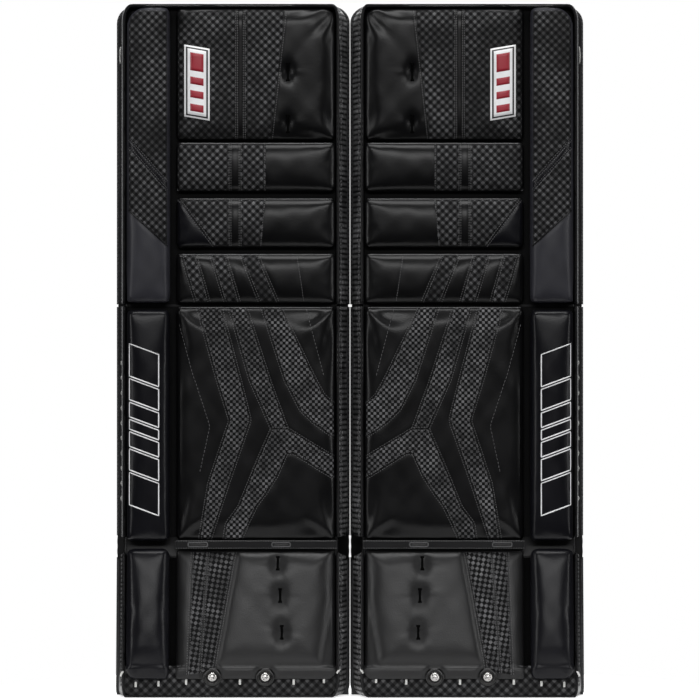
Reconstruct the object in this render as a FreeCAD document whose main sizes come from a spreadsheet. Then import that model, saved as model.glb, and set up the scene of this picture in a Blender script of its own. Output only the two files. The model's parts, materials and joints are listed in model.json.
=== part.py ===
"""A pair of ice-hockey goalie leg pads, standing side by side on their toe ends.

Row frame: +Z up, the faces look along -Y, and the wearer's left pad stands at +X. The origin is on the floor,
midway between the two pads and halfway through their depth.

Each pad is three padded sections: a thigh section with three knee rolls, a shin section and a boot section.
A section is a U-shaped casing around a foam core, with a stiffener board and face cushions in front. The
sections meet at two breaks, where they hinge. Wings, landing blocks and straps close round the leg behind.

The left pad is modelled and the right one is its mirror image. Sizes are millimetres and degrees. Depth y is
counted from the plane of the main face, towards the leg.
"""

import FreeCAD
import Part
import Sketcher
import os
import re
from FreeCAD import Placement, Rotation, Vector

DIMENSIONS = (
    ("pair_gap", 2.0, "space between the standing pads"),
    ("pad_width", 279.4, "one pad across its back, eleven inches"),
    ("pad_height", 827.0, "floor to top edge"),
    ("fit_gap", 0.3, "clearance between pieces that lie together"),
    ("flare_inner", 12.0, "how much narrower the casing is in front, at the inner side"),
    ("flare_outer", 9.0, "the same at the outer side"),
    ("casing_wall", 4.0, "sewn casing, foam-backed leather"),
    ("lip_setback", 6.0, "casing's front edge behind the main face"),
    ("corner_round", 16.0, "casing's top corners"),
    ("edge_round", 6.0, "front edges of the cushions"),
    ("boot_round", 4.5, "front edges of the boot's cushions, thin at their lower end"),
    ("face_depth", 18.0, "face cushion, front to back"),
    ("board_depth", 2.0, "plastic stiffener"),
    ("core_depth", 36.0, "foam core"),
    ("roll_proud", 12.0, "outer roll in front of the main face"),
    ("roll_width", 52.0, "outer roll across"),
    ("groove_width", 7.0, "groove between main face and outer roll"),
    ("knee_break", 467.0, "height of the break below the knee"),
    ("knee_break_gap", 3.0, "space between the sections there"),
    ("roll_break_gap", 8.0, "space between the outer rolls at a break"),
    ("knee_roll_height", 60.0, "one knee roll"),
    ("knee_roll_gap", 6.5, "space between knee rolls"),
    ("thigh_seam", 2.0, "space between the top knee roll and the thigh face"),
    ("boot_break", 181.0, "height of the boot hinge line"),
    ("boot_break_gap", 9.0, "space between the face cushions there"),
    ("boot_notch", 18.0, "space between the cores there, for the boot to straighten"),
    ("hinge_depth", 2.0, "boot hinge line behind the main face"),
    ("boot_angle", 8.2, "forward tilt of the boot section"),
    ("toe_block_height", 37.0, "solid toe block, floor to top"),
    ("apron_rise", 22.0, "bottom of the boot's cushions above the floor"),
    ("bolt_rise", 25.0, "toe bolts above the floor"),
    ("bolt_offset", 100.0, "inner toe bolt from the pad's inner side"),
    ("bolt_spacing", 63.0, "between the two toe bolts"),
    ("bolt_radius", 3.0, "bolt shank"),
    ("hole_radius", 3.2, "holes for the bolts"),
    ("head_radius", 6.0, "bolt head"),
    ("head_height", 4.0, "bolt head"),
    ("washer_radius", 11.5, "cup washer"),
    ("washer_depth", 2.0, "cup washer"),
    ("nut_bore", 3.05, "nut's inner radius"),
    ("nut_radius", 5.5, "nut's outer radius"),
    ("nut_depth", 5.0, "nut"),
    ("bridge_tab", 22.0, "toe bridge's end tabs, along the bridge"),
    ("bridge_rise", 13.0, "slot under the toe bridge"),
    ("bridge_wall", 5.0, "toe bridge strap"),
    ("bridge_height", 20.0, "toe bridge strap, edge to edge"),
    ("knee_stack_width", 96.0, "knee landing block across"),
    ("knee_stack_rise", 15.0, "its lower face above the knee break"),
    ("knee_stack_height", 126.0, "lower face to upper face"),
    ("knee_reach", 105.0, "knee block and knee wing behind the casing"),
    ("knee_wing_rise", 21.0, "knee wing's lower edge above the knee break"),
    ("knee_wing_height", 134.0, "knee wing, edge to edge"),
    ("calf_landing_width", 46.0, "calf landing block across"),
    ("calf_reach", 92.0, "calf block and calf wing behind the casing"),
    ("calf_rise", 27.0, "calf block's lower end above the boot hinge line"),
    ("calf_drop", 39.0, "its upper end below the knee break"),
    ("landing_inset", 13.0, "landing blocks in from the pad's inner side"),
    ("block_round", 8.0, "edges of the landing blocks"),
    ("wing_inset", 4.0, "wings in from the pad's sides"),
    ("wing_wall", 12.0, "padded wing"),
    ("wing_bend", 30.0, "bevel where a wing turns inward"),
    ("wing_hook", 75.0, "wing's inward reach"),
    ("boot_reach", 78.0, "boot wings behind the casing"),
    ("boot_wing_drop", 20.0, "boot wings' top below the hinge line"),
    ("strap_width", 38.0, "webbing"),
    ("strap_depth", 3.0, "webbing"),
    ("strap_inset", 26.0, "strap ends in from the pad's inner side"),
    ("strap_end_gap", 4.0, "strap's sewn end in from the wing's bevel"),
    ("strap_round", 10.0, "corners of the strap ends"),
    ("knee_strap_rise", 81.0, "knee strap's middle above the knee break"),
    ("upper_strap_drop", 81.0, "upper calf strap's middle below the knee break"),
    ("lower_strap_rise", 81.0, "lower calf strap's middle above the boot hinge line"),
    ("boot_strap_drop", 82.0, "boot strap's middle below the hinge line"),
)

TILT = "boot_angle * 1 deg"
BEVEL = "0.4142"  # tan 22.5 degrees: a 45-degree bevel keeps a wall's thickness with this share of it
DERIVED = {
    "x_in": "pair_gap / 2",
    "x_out": "x_in + pad_width",
    "x_wing": "x_out - wing_inset",
    "face_left": "x_in + flare_inner + casing_wall + fit_gap",
    "roll_right": "x_out - flare_outer - casing_wall - fit_gap",
    "roll_left": "roll_right - roll_width",
    "face_right": "roll_left - groove_width",
    "board_front": "face_depth + fit_gap",
    "core_front": "board_front + board_depth + fit_gap",
    "core_back": "core_front + core_depth",
    "cavity_back": "core_back + fit_gap",
    "y_back": "cavity_back + casing_wall",
    "y_leg": "y_back + fit_gap",
    "knee_rear": "y_leg + knee_reach",
    "calf_rear": "y_leg + calf_reach",
    "boot_rear": "y_leg + boot_reach",
    "thigh_low": "knee_break + knee_break_gap / 2",
    "shin_high": "knee_break - knee_break_gap / 2",
    "shin_low": "boot_break + boot_notch / 2",
    "rolls_low": "thigh_low + fit_gap",
    "roll_pitch": "knee_roll_height + knee_roll_gap",
    "rolls_high": "rolls_low + 3 * roll_pitch - knee_roll_gap",
    "lining_top": "pad_height - casing_wall - fit_gap",
    "knee_stack_low": "knee_break + knee_stack_rise",
    "knee_wing_low": "knee_break + knee_wing_rise",
    "calf_low": "boot_break + calf_rise",
    "calf_high": "knee_break - calf_drop",
    "slant_height": f"boot_break / cos({TILT})",
    "toe_block": "slant_height - toe_block_height",
    "apron_drop": "slant_height - apron_rise",
    "bolt_drop": "slant_height - bolt_rise",
    "strap_left": "x_in + strap_inset",
    "strap_right": "x_wing - wing_bend - strap_end_gap",
    "bolt_left": "x_in + bolt_offset",
    "bolt_right": "bolt_left + bolt_spacing",
    "front_most": f"hinge_depth * (1 - cos({TILT})) - (roll_proud - boot_round) * cos({TILT})"
    f" - (apron_drop - boot_round) * sin({TILT}) - boot_round",
    "rear_most": "knee_rear + fit_gap + strap_depth",
    "y_shift": "-(front_most + rear_most) / 2",
}
ALIASES = [name for name, _, _ in DIMENSIONS]
SLACK = 1e-3

DOC = FreeCAD.newDocument("goalie_leg_pads")
SHEET = DOC.addObject("Spreadsheet::Sheet", "Dims")
LEFT = []


def fill_sheet():
    """Writes each driving dimension as a number with its alias, and what it is beside it."""
    for row, (alias, value, meaning) in enumerate(DIMENSIONS, 1):
        SHEET.set(f"A{row}", str(value))
        SHEET.setAlias(f"A{row}", alias)
        SHEET.set(f"B{row}", meaning)
    DOC.recompute()


def cells(text):
    """An expression in which each alias names its cell, and each derived size is written out."""

    def replaced(match):
        word = match.group(0)
        if word in DERIVED:
            return "(" + cells(DERIVED[word]) + ")"
        return "Dims." + word if word in ALIASES else word

    return re.sub(r"[a-z_]+", replaced, text)


def floor_at(y):
    """Where the floor lies below the hinge line at depth y, in the tilted boot section."""
    return f"-(boot_break + (hinge_depth - ({y})) * sin({TILT})) / cos({TILT})"


def arm(side, y):
    """The inner surface of a casing's side at depth y."""
    slope = f"(y_back - ({y})) / (y_back - lip_setback)"
    if side == "inner":
        return f"x_in + flare_inner * {slope} + casing_wall"
    return f"x_out - flare_outer * {slope} - casing_wall"


def rectangle(left, right, low, high):
    return [(left, low), (right, low), (right, high), (left, high)]


class Piece:
    """One sub-part of the left pad: a body built feature by feature, every size bound to the sheet."""

    def __init__(self, name):
        self.body = DOC.addObject("PartDesign::Body", "left_" + name)
        self.body.Label = "left_" + name
        self.body.AllowCompound = True
        LEFT.append(self.body)

    def sketch(self, plane, level, outlines, circles):
        sketch = self.body.newObject("Sketcher::SketchObject", "Profile")
        origin = [f for f in self.body.Origin.OriginFeatures if f.Role == plane]
        sketch.AttachmentSupport = [(origin[0], "")]
        sketch.MapMode = "FlatFace"
        sketch.setExpression("AttachmentOffset.Base.z", cells(level))
        for outline in outlines:
            self.draw_outline(sketch, outline)
        for across, up, radius in circles:
            index = sketch.addGeometry(Part.Circle(Vector(0, 0, 0), Vector(0, 0, 1), 1.0))
            self.bind(sketch, index, 3, across, up)
            row = sketch.addConstraint(Sketcher.Constraint("Radius", index, 1.0))
            sketch.setExpression(f"Constraints[{row}]", cells(radius))
        return sketch

    def draw_outline(self, sketch, outline):
        """A closed outline of straight lines, each corner held at its two expressions."""
        first = sketch.GeometryCount
        ring = Part.makePolygon([Vector(1, 0, 0), Vector(0, 1, 0)])  # any two points: the corners are bound below
        start, end = (v.Point for v in ring.Vertexes)
        for _ in outline:
            sketch.addGeometry(Part.LineSegment(start, end))
        for i, (across, up) in enumerate(outline):
            after = first + (i + 1) % len(outline)
            sketch.addConstraint(Sketcher.Constraint("Coincident", first + i, 2, after, 1))
            self.bind(sketch, first + i, 1, across, up)

    def bind(self, sketch, index, point, across, up):
        for kind, text in (("DistanceX", across), ("DistanceY", up)):
            row = sketch.addConstraint(Sketcher.Constraint(kind, -1, 1, index, point, 1.0))
            sketch.setExpression(f"Constraints[{row}]", cells(text))

    def add(self, plane, low, high, *outlines, circles=()):
        """Adds the outlines' material from low to high across the plane."""
        level = f"-({high})" if plane == "XZ_Plane" else low
        sketch = self.sketch(plane, level, outlines, circles)
        pad = self.body.newObject("PartDesign::Pad", "Pad")
        pad.Profile = sketch
        pad.setExpression("Length", cells(f"({high}) - ({low})"))
        DOC.recompute()
        return self

    def cut(self, plane, low, high, *outlines, circles=()):
        """Takes the outlines' material away from low to high across the plane."""
        before = self.body.Tip.Shape.Volume
        level = f"-({low})" if plane == "XZ_Plane" else high
        sketch = self.sketch(plane, level, outlines, circles)
        pocket = self.body.newObject("PartDesign::Pocket", "Pocket")
        pocket.Profile = sketch
        pocket.setExpression("Length", cells(f"({high}) - ({low})"))
        DOC.recompute()
        if pocket.Shape.Volume > before - 1.0:
            raise RuntimeError(f"{self.body.Label}: the pocket took nothing away")
        return self

    def round(self, radius, wanted):
        """Rounds the edges whose two ends pass the test."""
        base = self.body.Tip
        shape = base.Shape
        ends = [[v.Point for v in edge.Vertexes] for edge in shape.Edges]
        names = [
            f"Edge{i}" for i, pair in enumerate(ends, 1) if len(pair) == 2 and wanted(*pair, shape.BoundBox)
        ]
        if not names:
            raise RuntimeError(f"{self.body.Label}: no edge to round")
        fillet = self.body.newObject("PartDesign::Fillet", "Fillet")
        fillet.Base = (base, names)
        fillet.setExpression("Radius", cells(radius))
        DOC.recompute()
        return self

    def stand(self):
        """Puts the piece in the row frame."""
        self.body.setExpression("Placement.Base.y", cells("y_shift") + " * 1 mm")

    def tilt(self):
        """Puts a piece of the boot section, drawn upright from the hinge line, in the row frame."""
        self.body.Placement = Placement(Vector(0, 0, 0), Rotation(Vector(1, 0, 0), -1.0))
        self.body.setExpression("Placement.Rotation.Angle", cells(f"-{TILT}"))
        y = cells(f"y_shift + hinge_depth * (1 - cos({TILT}))")
        z = cells(f"boot_break + hinge_depth * sin({TILT})")
        self.body.setExpression("Placement.Base.y", f"({y}) * 1 mm")
        self.body.setExpression("Placement.Base.z", f"({z}) * 1 mm")


def close(a, b):
    return abs(a - b) < SLACK


def in_front(a, b, box):
    """Edges of the front face."""
    return close(a.y, box.YMin) and close(b.y, box.YMin)


def top_corner(a, b, box):
    """Edges that run front to back along the top face."""
    return close(a.z, box.ZMax) and close(b.z, box.ZMax) and abs(a.y - b.y) > abs(a.x - b.x)


def cavity_corner(a, b, box):
    """Edges that run front to back under the top wall."""
    under = box.ZMax - float(SHEET.get("casing_wall"))
    return close(a.z, under) and close(b.z, under) and abs(a.y - b.y) > abs(a.x - b.x)


def through(a, b, box):
    """Edges that run straight front to back."""
    return close(a.x, b.x) and close(a.z, b.z)


def behind(a, b, box):
    """Edges of the face towards the leg."""
    return close(a.y, box.YMax) and close(b.y, box.YMax)


def tapered(front, back, wall_gap):
    """A core's or cavity's plan: it widens towards the back with the casing."""
    return [
        (arm("inner", front) + wall_gap, front),
        (arm("inner", back) + wall_gap, back),
        (arm("outer", back) + wall_gap.replace("+", "-"), back),
        (arm("outer", front) + wall_gap.replace("+", "-"), front),
    ]


CASING = [
    ("x_in + flare_inner", "lip_setback"),
    ("x_in", "y_back"),
    ("x_out", "y_back"),
    ("x_out - flare_outer", "lip_setback"),
]
CAVITY = tapered("lip_setback", "cavity_back", "")
CORE = tapered("core_front", "core_back", " + fit_gap")
BOARD = rectangle("face_left", "roll_right", "board_front", "board_front + board_depth")


def cushion(name, left, right, front, low, high):
    """A face cushion on the board, its front edges rounded."""
    piece = Piece(name).add("XY_Plane", low, high, rectangle(left, right, front, "face_depth"))
    if name.startswith("thigh"):
        piece.round("corner_round", top_corner)
    return piece.round("edge_round", in_front)


def block(name, width, reach, low, high):
    """A landing block on the casing's back, at the inner side."""
    left = "x_in + landing_inset"
    piece = Piece(name).add("XY_Plane", low, high, rectangle(left, f"{left} + {width}", "y_leg", reach))
    piece.round("block_round", behind).stand()


def hook(x, into, rear):
    """A wing's plan: back from the casing, round a bevel, and inward. into is -1 at the outer side, 1 at the inner."""
    return [
        (x, "y_leg"),
        (x, f"{rear} - wing_bend"),
        (f"{x} + {into} * wing_bend", rear),
        (f"{x} + {into} * wing_hook", rear),
        (f"{x} + {into} * wing_hook", f"{rear} - wing_wall"),
        (f"{x} + {into} * (wing_bend + {BEVEL} * wing_wall)", f"{rear} - wing_wall"),
        (f"{x} + {into} * wing_wall", f"{rear} - wing_bend - {BEVEL} * wing_wall"),
        (f"{x} + {into} * wing_wall", "y_leg"),
    ]


def wing(name, rear, low, high):
    Piece(name).add("XY_Plane", low, high, hook("x_wing", "-1", rear)).stand()


def strap(name, rear, middle):
    """Webbing from its sewn end on the wing to its hook-and-loop end on the landing."""
    front = f"{rear} + fit_gap"
    outline = rectangle("strap_left", "strap_right", f"{middle} - strap_width / 2", f"{middle} + strap_width / 2")
    piece = Piece(name).add("XZ_Plane", front, f"{front} + strap_depth", outline)
    return piece.round("strap_round", through)


def thigh_section():
    casing = Piece("thigh_casing").add("XY_Plane", "thigh_low", "pad_height", CASING)
    casing.cut("XY_Plane", "thigh_low", "pad_height - casing_wall", CAVITY)
    casing.round("corner_round - casing_wall", cavity_corner)
    casing.round("corner_round", top_corner).stand()
    Piece("thigh_core").add("XY_Plane", "thigh_low", "lining_top", CORE).round("corner_round", top_corner).stand()
    Piece("thigh_board").add("XY_Plane", "thigh_low", "lining_top", BOARD).round("corner_round", top_corner).stand()
    cushion("thigh_face", "face_left", "face_right", "0", "rolls_high + thigh_seam", "lining_top").stand()
    roll_low = "knee_break + (roll_break_gap - knee_break_gap) / 2"
    cushion("thigh_outer_roll", "roll_left", "roll_right", "-roll_proud", roll_low, "lining_top").stand()
    for number, name in enumerate(("lower", "middle", "upper")):
        low = f"rolls_low + {number} * roll_pitch"
        cushion(f"knee_roll_{name}", "face_left", "face_right", "0", low, f"{low} + knee_roll_height").stand()
    stack_high = "knee_stack_low + knee_stack_height"
    block("knee_stack", "knee_stack_width", "knee_rear", "knee_stack_low", stack_high)
    wing("knee_wing", "knee_rear", "knee_wing_low", "knee_wing_low + knee_wing_height")
    strap("knee_strap", "knee_rear", "knee_break + knee_strap_rise").stand()


def shin_section():
    casing = Piece("shin_casing").add("XY_Plane", "shin_low", "shin_high", CASING)
    casing.cut("XY_Plane", "shin_low", "shin_high", CAVITY).stand()
    Piece("shin_core").add("XY_Plane", "shin_low", "shin_high", CORE).stand()
    Piece("shin_board").add("XY_Plane", "shin_low", "shin_high", BOARD).stand()
    low = "boot_break + boot_break_gap / 2"
    cushion("shin_face", "face_left", "face_right", "0", low, "shin_high").stand()
    high = "knee_break - (roll_break_gap + knee_break_gap) / 2 + fit_gap"
    cushion("shin_outer_roll", "roll_left", "roll_right", "-roll_proud", low, high).stand()
    block("calf_landing", "calf_landing_width", "calf_rear", "calf_low", "calf_high")
    wing("calf_wing", "calf_rear", "calf_low + wing_wall", "calf_high - wing_wall")
    strap("upper_calf_strap", "calf_rear", "knee_break - upper_strap_drop").stand()
    strap("lower_calf_strap", "calf_rear", "boot_break + lower_strap_rise").stand()


def boot_cushion(name, left, right, front):
    """A boot cushion with a thin apron that hangs in front of the toe block."""
    top, seat, apron = "-boot_break_gap / 2", "fit_gap - toe_block", "lip_setback - fit_gap"
    side = [
        (front, top),
        ("face_depth", top),
        ("face_depth", seat),
        (apron, seat),
        (apron, "-apron_drop"),
        (front, "-apron_drop"),
    ]
    return Piece(name).add("YZ_Plane", left, right, side).round("boot_round", in_front)


def boot_section():
    top, bolt_height = "-boot_notch / 2", "-bolt_drop"
    casing = Piece("boot_casing").add("XY_Plane", floor_at("0") + " - y_back", top, CASING)
    casing.cut("XY_Plane", "-toe_block", top, CAVITY)
    below = f"{floor_at('0')} - 2 * y_back"
    floor = [("0", floor_at("0")), ("2 * y_back", floor_at("2 * y_back")), ("2 * y_back", below), ("0", below)]
    casing.cut("YZ_Plane", "0", "x_out + x_in", floor)
    bolt_holes = [(x, bolt_height, "hole_radius") for x in ("bolt_left", "bolt_right")]
    casing.cut("XZ_Plane", "0", "y_back + casing_wall", circles=bolt_holes).tilt()
    Piece("boot_core").add("XY_Plane", "fit_gap - toe_block", top, CORE).tilt()
    face = boot_cushion("boot_face", "face_left", "face_right", "0")
    seats = [(x, bolt_height, "washer_radius + 1") for x in ("bolt_left", "bolt_right")]
    face.cut("XZ_Plane", "-1", "face_depth + 1", circles=seats).tilt()
    boot_cushion("boot_outer_roll", "roll_left", "roll_right", "-roll_proud").tilt()
    toe_fasteners(bolt_height)
    boot_wings()
    strap("boot_strap", "boot_rear", "-boot_strap_drop").tilt()


def toe_fasteners(height):
    """Two bolts through the toe block, their cup washers and nuts, and the bridge they hold behind it."""
    washer_front, bridge_back = "lip_setback - washer_depth", "y_leg + bridge_wall"
    nut_back = f"{bridge_back} + nut_depth"

    def pair(radius):
        return [("bolt_left", height, radius), ("bolt_right", height, radius)]

    bolts = Piece("toe_bolts").add("XZ_Plane", washer_front, nut_back, circles=pair("bolt_radius"))
    bolts.add("XZ_Plane", f"{washer_front} - head_height", washer_front, circles=pair("head_radius")).tilt()
    washers = Piece("toe_washers").add("XZ_Plane", washer_front, "lip_setback", circles=pair("washer_radius"))
    washers.cut("XZ_Plane", washer_front, "lip_setback", circles=pair("hole_radius")).tilt()
    nuts = Piece("toe_nuts").add("XZ_Plane", bridge_back, nut_back, circles=pair("nut_radius"))
    nuts.cut("XZ_Plane", bridge_back, nut_back, circles=pair("nut_bore")).tilt()
    half_tab = "bridge_tab / 2"
    slot_left, slot_right = f"bolt_left + {half_tab}", f"bolt_right - {half_tab}"
    lift, skin = "y_leg + bridge_rise", f"{BEVEL} * bridge_wall"
    outline = [
        (f"bolt_left - {half_tab}", "y_leg"),
        (slot_left, "y_leg"),
        (f"{slot_left} + bridge_rise", lift),
        (f"{slot_right} - bridge_rise", lift),
        (slot_right, "y_leg"),
        (f"bolt_right + {half_tab}", "y_leg"),
        (f"bolt_right + {half_tab}", bridge_back),
        (f"{slot_right} + {skin}", bridge_back),
        (f"{slot_right} + {skin} - bridge_rise", f"{lift} + bridge_wall"),
        (f"{slot_left} - {skin} + bridge_rise", f"{lift} + bridge_wall"),
        (f"{slot_left} - {skin}", bridge_back),
        (f"bolt_left - {half_tab}", bridge_back),
    ]
    low, high = f"{height} - bridge_height / 2", f"{height} + bridge_height / 2"
    bridge = Piece("toe_bridge").add("XY_Plane", low, high, outline)
    bridge.cut("XZ_Plane", "y_leg", nut_back, circles=pair("hole_radius")).tilt()


def boot_wings():
    """The inner and outer boot wings, which reach the floor behind the toe block."""
    deep = f"{floor_at('0')} - boot_reach"
    outlines = [hook("x_wing", "-1", "boot_rear"), hook("(x_in + wing_inset)", "1", "boot_rear")]
    wings = Piece("boot_wings").add("XY_Plane", deep, "-boot_wing_drop", *outlines)
    rear = "boot_rear + wing_wall"
    floor = [("0", floor_at("0")), (rear, floor_at(rear)), (rear, f"{deep} - 1"), ("0", f"{deep} - 1")]
    wings.cut("YZ_Plane", "0", "x_out", floor).tilt()


def mirror_all():
    """The right pad: each piece of the left one, mirrored across the plane between them."""
    right = []
    for body in LEFT:
        name = body.Label.replace("left_", "right_")
        twin = DOC.addObject("Part::Mirroring", name)
        twin.Label = name
        twin.Source = body
        twin.Base = Vector(0, 0, 0)
        twin.Normal = Vector(1, 0, 0)
        right.append(twin)
    return right


def write(pieces):
    """Refuses a failed feature or a bad shape, then writes one file for each sub-part."""
    for item in DOC.Objects:
        if "Invalid" in item.State or "Error" in item.State:
            raise RuntimeError(f"{item.Label} failed: {item.State}")
    for piece in pieces:
        if piece.Shape.isNull() or not piece.Shape.isValid() or not piece.Shape.Solids:
            raise RuntimeError(f"{piece.Label} has no valid solid")
    os.makedirs("parts", exist_ok=True)
    for piece in pieces:
        piece.Shape.exportStep(os.path.join("parts", piece.Label + ".step"))


fill_sheet()
thigh_section()
shin_section()
boot_section()
RIGHT = mirror_all()
DOC.recompute()
write(LEFT + RIGHT)
print(len(LEFT + RIGHT), "sub-parts")
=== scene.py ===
"""The looks of a pair of goalie leg pads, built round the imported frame, in its metres and axes.

The left pad is built, and each of its pieces is then mirrored for the right pad. Places on the front of a
pad are (x, z) pairs, given in millimetres from the lowest inner corner of a CAD cushion. They are cast onto
the cushions that are built here, so that patches, seams and stitches lie on the surface. The boot is drawn
upright, and tilted when it is handed over.
"""

import json
import math

import bmesh
import bpy
import numpy as np
from mathutils import Matrix, Vector
from mathutils.bvhtree import BVHTree


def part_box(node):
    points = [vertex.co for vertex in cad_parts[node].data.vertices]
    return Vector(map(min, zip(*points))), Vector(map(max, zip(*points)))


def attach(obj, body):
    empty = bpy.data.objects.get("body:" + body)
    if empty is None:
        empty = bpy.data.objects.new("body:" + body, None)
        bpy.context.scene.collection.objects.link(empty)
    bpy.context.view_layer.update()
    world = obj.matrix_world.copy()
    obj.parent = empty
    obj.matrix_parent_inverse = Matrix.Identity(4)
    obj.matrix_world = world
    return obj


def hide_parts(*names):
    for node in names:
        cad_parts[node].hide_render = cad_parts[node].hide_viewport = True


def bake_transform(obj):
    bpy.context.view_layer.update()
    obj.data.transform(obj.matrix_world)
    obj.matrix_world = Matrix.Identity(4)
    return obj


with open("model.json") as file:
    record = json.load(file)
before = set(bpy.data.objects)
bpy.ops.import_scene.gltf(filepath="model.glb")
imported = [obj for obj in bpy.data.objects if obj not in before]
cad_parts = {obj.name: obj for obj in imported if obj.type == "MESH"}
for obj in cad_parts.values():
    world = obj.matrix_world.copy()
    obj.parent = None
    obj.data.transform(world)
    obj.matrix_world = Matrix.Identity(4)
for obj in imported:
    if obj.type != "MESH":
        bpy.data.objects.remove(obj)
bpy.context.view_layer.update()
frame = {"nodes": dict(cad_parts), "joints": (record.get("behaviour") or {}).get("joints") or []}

MM = 0.001
SCENE = bpy.context.scene
JOINTS = {joint["name"]: joint for joint in frame["joints"]}
SIDES = ("left", "right")
EDGES = (0.0, 1.0)  # the two ends of a side, as shares of its length


# ---------------------------------------------------------------- places


def box(node):
    """The lowest and highest corner of one of the left pad's CAD nodes."""
    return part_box("left_" + node)


def cad_points(node):
    return np.array([v.co for v in frame["nodes"]["left_" + node].data.vertices])


HINGE = Vector(JOINTS["left_boot_flex"]["pos_m"])
TILT_AXIS = JOINTS["left_boot_strap_open"]["axis"]
TILT = math.atan2(TILT_AXIS[1], -TILT_AXIS[2])


def hinge_turn(angle):
    """A turn about the boot's hinge line."""
    return Matrix.Translation(HINGE) @ Matrix.Rotation(angle, 4, "X") @ Matrix.Translation(-HINGE)


TILTED = hinge_turn(TILT)


def upright_box(node):
    """The box of a boot node after turning it upright about the boot's hinge line."""
    upright = TILTED.inverted()
    points = np.array([upright @ Vector(p) for p in cad_points(node)])
    return Vector(points.min(0)), Vector(points.max(0))


def lip_edges():
    """The x of the casing's two front edges, which stand in from its back ones."""
    points = cad_points("shin_casing")
    front = points[points[:, 1] < points[:, 1].min() + MM]
    return front[:, 0].min(), front[:, 0].max()


FACE = box("thigh_face")[0].y  # the plane of the main face
INNER, OUTER = box("thigh_casing")[0].x, box("thigh_casing")[1].x
BACK, TOP = box("thigh_casing")[1].y, box("thigh_casing")[1].z
FACE_INNER, FACE_OUTER = box("shin_face")[0].x, box("shin_face")[1].x
LIP = box("shin_casing")[0].y
LIP_INNER, LIP_OUTER = lip_edges()
KNEE_BREAK = JOINTS["left_knee_flex"]["pos_m"][2]
BOOT_BREAK = box("shin_casing")[0].z
SOLE = HINGE.z - HINGE.z / math.cos(TILT)  # the lowest z of the boot as it is drawn


def at(node, *pairs):
    """Places in millimetres from the lowest inner corner of a CAD node, as (x, z) in metres."""
    low = box(node)[0]
    return [(low.x + x * MM, low.z + z * MM) for x, z in pairs]


def height(*pairs):
    """Places in millimetres from the main face's inner edge and from the floor, as (x, z) in metres."""
    return [(FACE_INNER + x * MM, z * MM) for x, z in pairs]


# ---------------------------------------------------------------- lines


def smoothstep(t):
    t = np.clip(t, 0.0, 1.0)
    return t * t * (3.0 - 2.0 * t)


def steps_along(line):
    """A line's points, and how far along it each of them is."""
    line = np.array([tuple(p) for p in line], float)
    return line, np.concatenate(([0.0], np.cumsum(np.linalg.norm(np.diff(line, axis=0), axis=1))))


def resample(line, count):
    """count points evenly along a line of points."""
    line, along = steps_along(line)
    wanted = np.linspace(0.0, along[-1], count)
    return np.stack([np.interp(wanted, along, line[:, i]) for i in range(line.shape[1])], axis=1)


def length_of(line):
    return float(steps_along(line)[1][-1])


def rounded(line, radius, steps):
    """A line of points with its corners cut by small curves."""
    points = [Vector(p) for p in line]
    out = [points[0]]
    for before, corner, after in zip(points, points[1:], points[2:]):
        reach = min(radius, (before - corner).length / 2, (after - corner).length / 2)
        start = corner + (before - corner).normalized() * reach
        end = corner + (after - corner).normalized() * reach
        for t in np.linspace(0, 1, steps + 1):
            out.append(start * (1 - t) ** 2 + corner * 2 * t * (1 - t) + end * t * t)
    return [tuple(p) for p in out + [points[-1]]]


def arc(centre, radius, start, end, steps):
    """Points of an arc, from one angle to another, in degrees."""
    angles = np.radians(np.linspace(start, end, steps + 1))
    return [(centre[0] + radius * math.cos(a), centre[1] + radius * math.sin(a)) for a in angles]


def rounded_box(low, high, corners, steps=5):
    """A box's outline in (x, z), anticlockwise from its lowest inner corner. corners are its four radii."""
    places = ((low[0], low[1], 180), (high[0], low[1], 270), (high[0], high[1], 0), (low[0], high[1], 90))
    outline = []
    for (x, z, start), radius in zip(places, corners):
        centre = (x + radius * (1 if x == low[0] else -1), z + radius * (1 if z == low[1] else -1))
        outline += arc(centre, radius, start, start + 90, steps)
    return outline


def distance_to(line, places):
    """How far each (x, z) place is from a line."""
    best = np.full(len(places), np.inf)
    line = np.array(line, float)
    for a, b in zip(line, line[1:]):
        along = b - a
        t = np.clip(((places - a) @ along) / max(along @ along, 1e-12), 0.0, 1.0)
        best = np.minimum(best, np.linalg.norm(places - (a + t[:, None] * along), axis=1))
    return best


def leftward(line):
    """The directions square to a line of pairs, to its left, where the outside of a casing's path is."""
    along = np.gradient(np.array(line, float), axis=0)
    along /= np.linalg.norm(along, axis=1)[:, None]
    return np.stack([-along[:, 1], along[:, 0]], axis=1)


def beside(line, offset):
    """A line shifted sideways by offset, in its own plane."""
    return [tuple(p) for p in np.array(line, float) + leftward(line) * offset]


def double(line, gap=1.5 * MM):
    """The two rows of a double seam."""
    return [beside(line, -gap), beside(line, gap)]


def shares(length, cell, hem):
    """Places along a side, from 0 to 1, with a hem's width marked off at each end."""
    count = max(2, round(length / cell))
    hem = min(0.2, hem / max(length, 1e-6))
    return [0.0, hem] + list(np.linspace(0, 1, count + 1)[1:-1] * (1 - 2 * hem) + hem) + [1 - hem, 1.0]


# ---------------------------------------------------------------- meshes


def shade_smooth(mesh):
    mesh.polygons.foreach_set("use_smooth", [True] * len(mesh.polygons))


def placed(name, mesh, materials):
    """A new object in the scene from a mesh."""
    for material in materials:
        mesh.materials.append(material)
    shade_smooth(mesh)
    piece = bpy.data.objects.new(name, mesh)
    SCENE.collection.objects.link(piece)
    return piece


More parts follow.
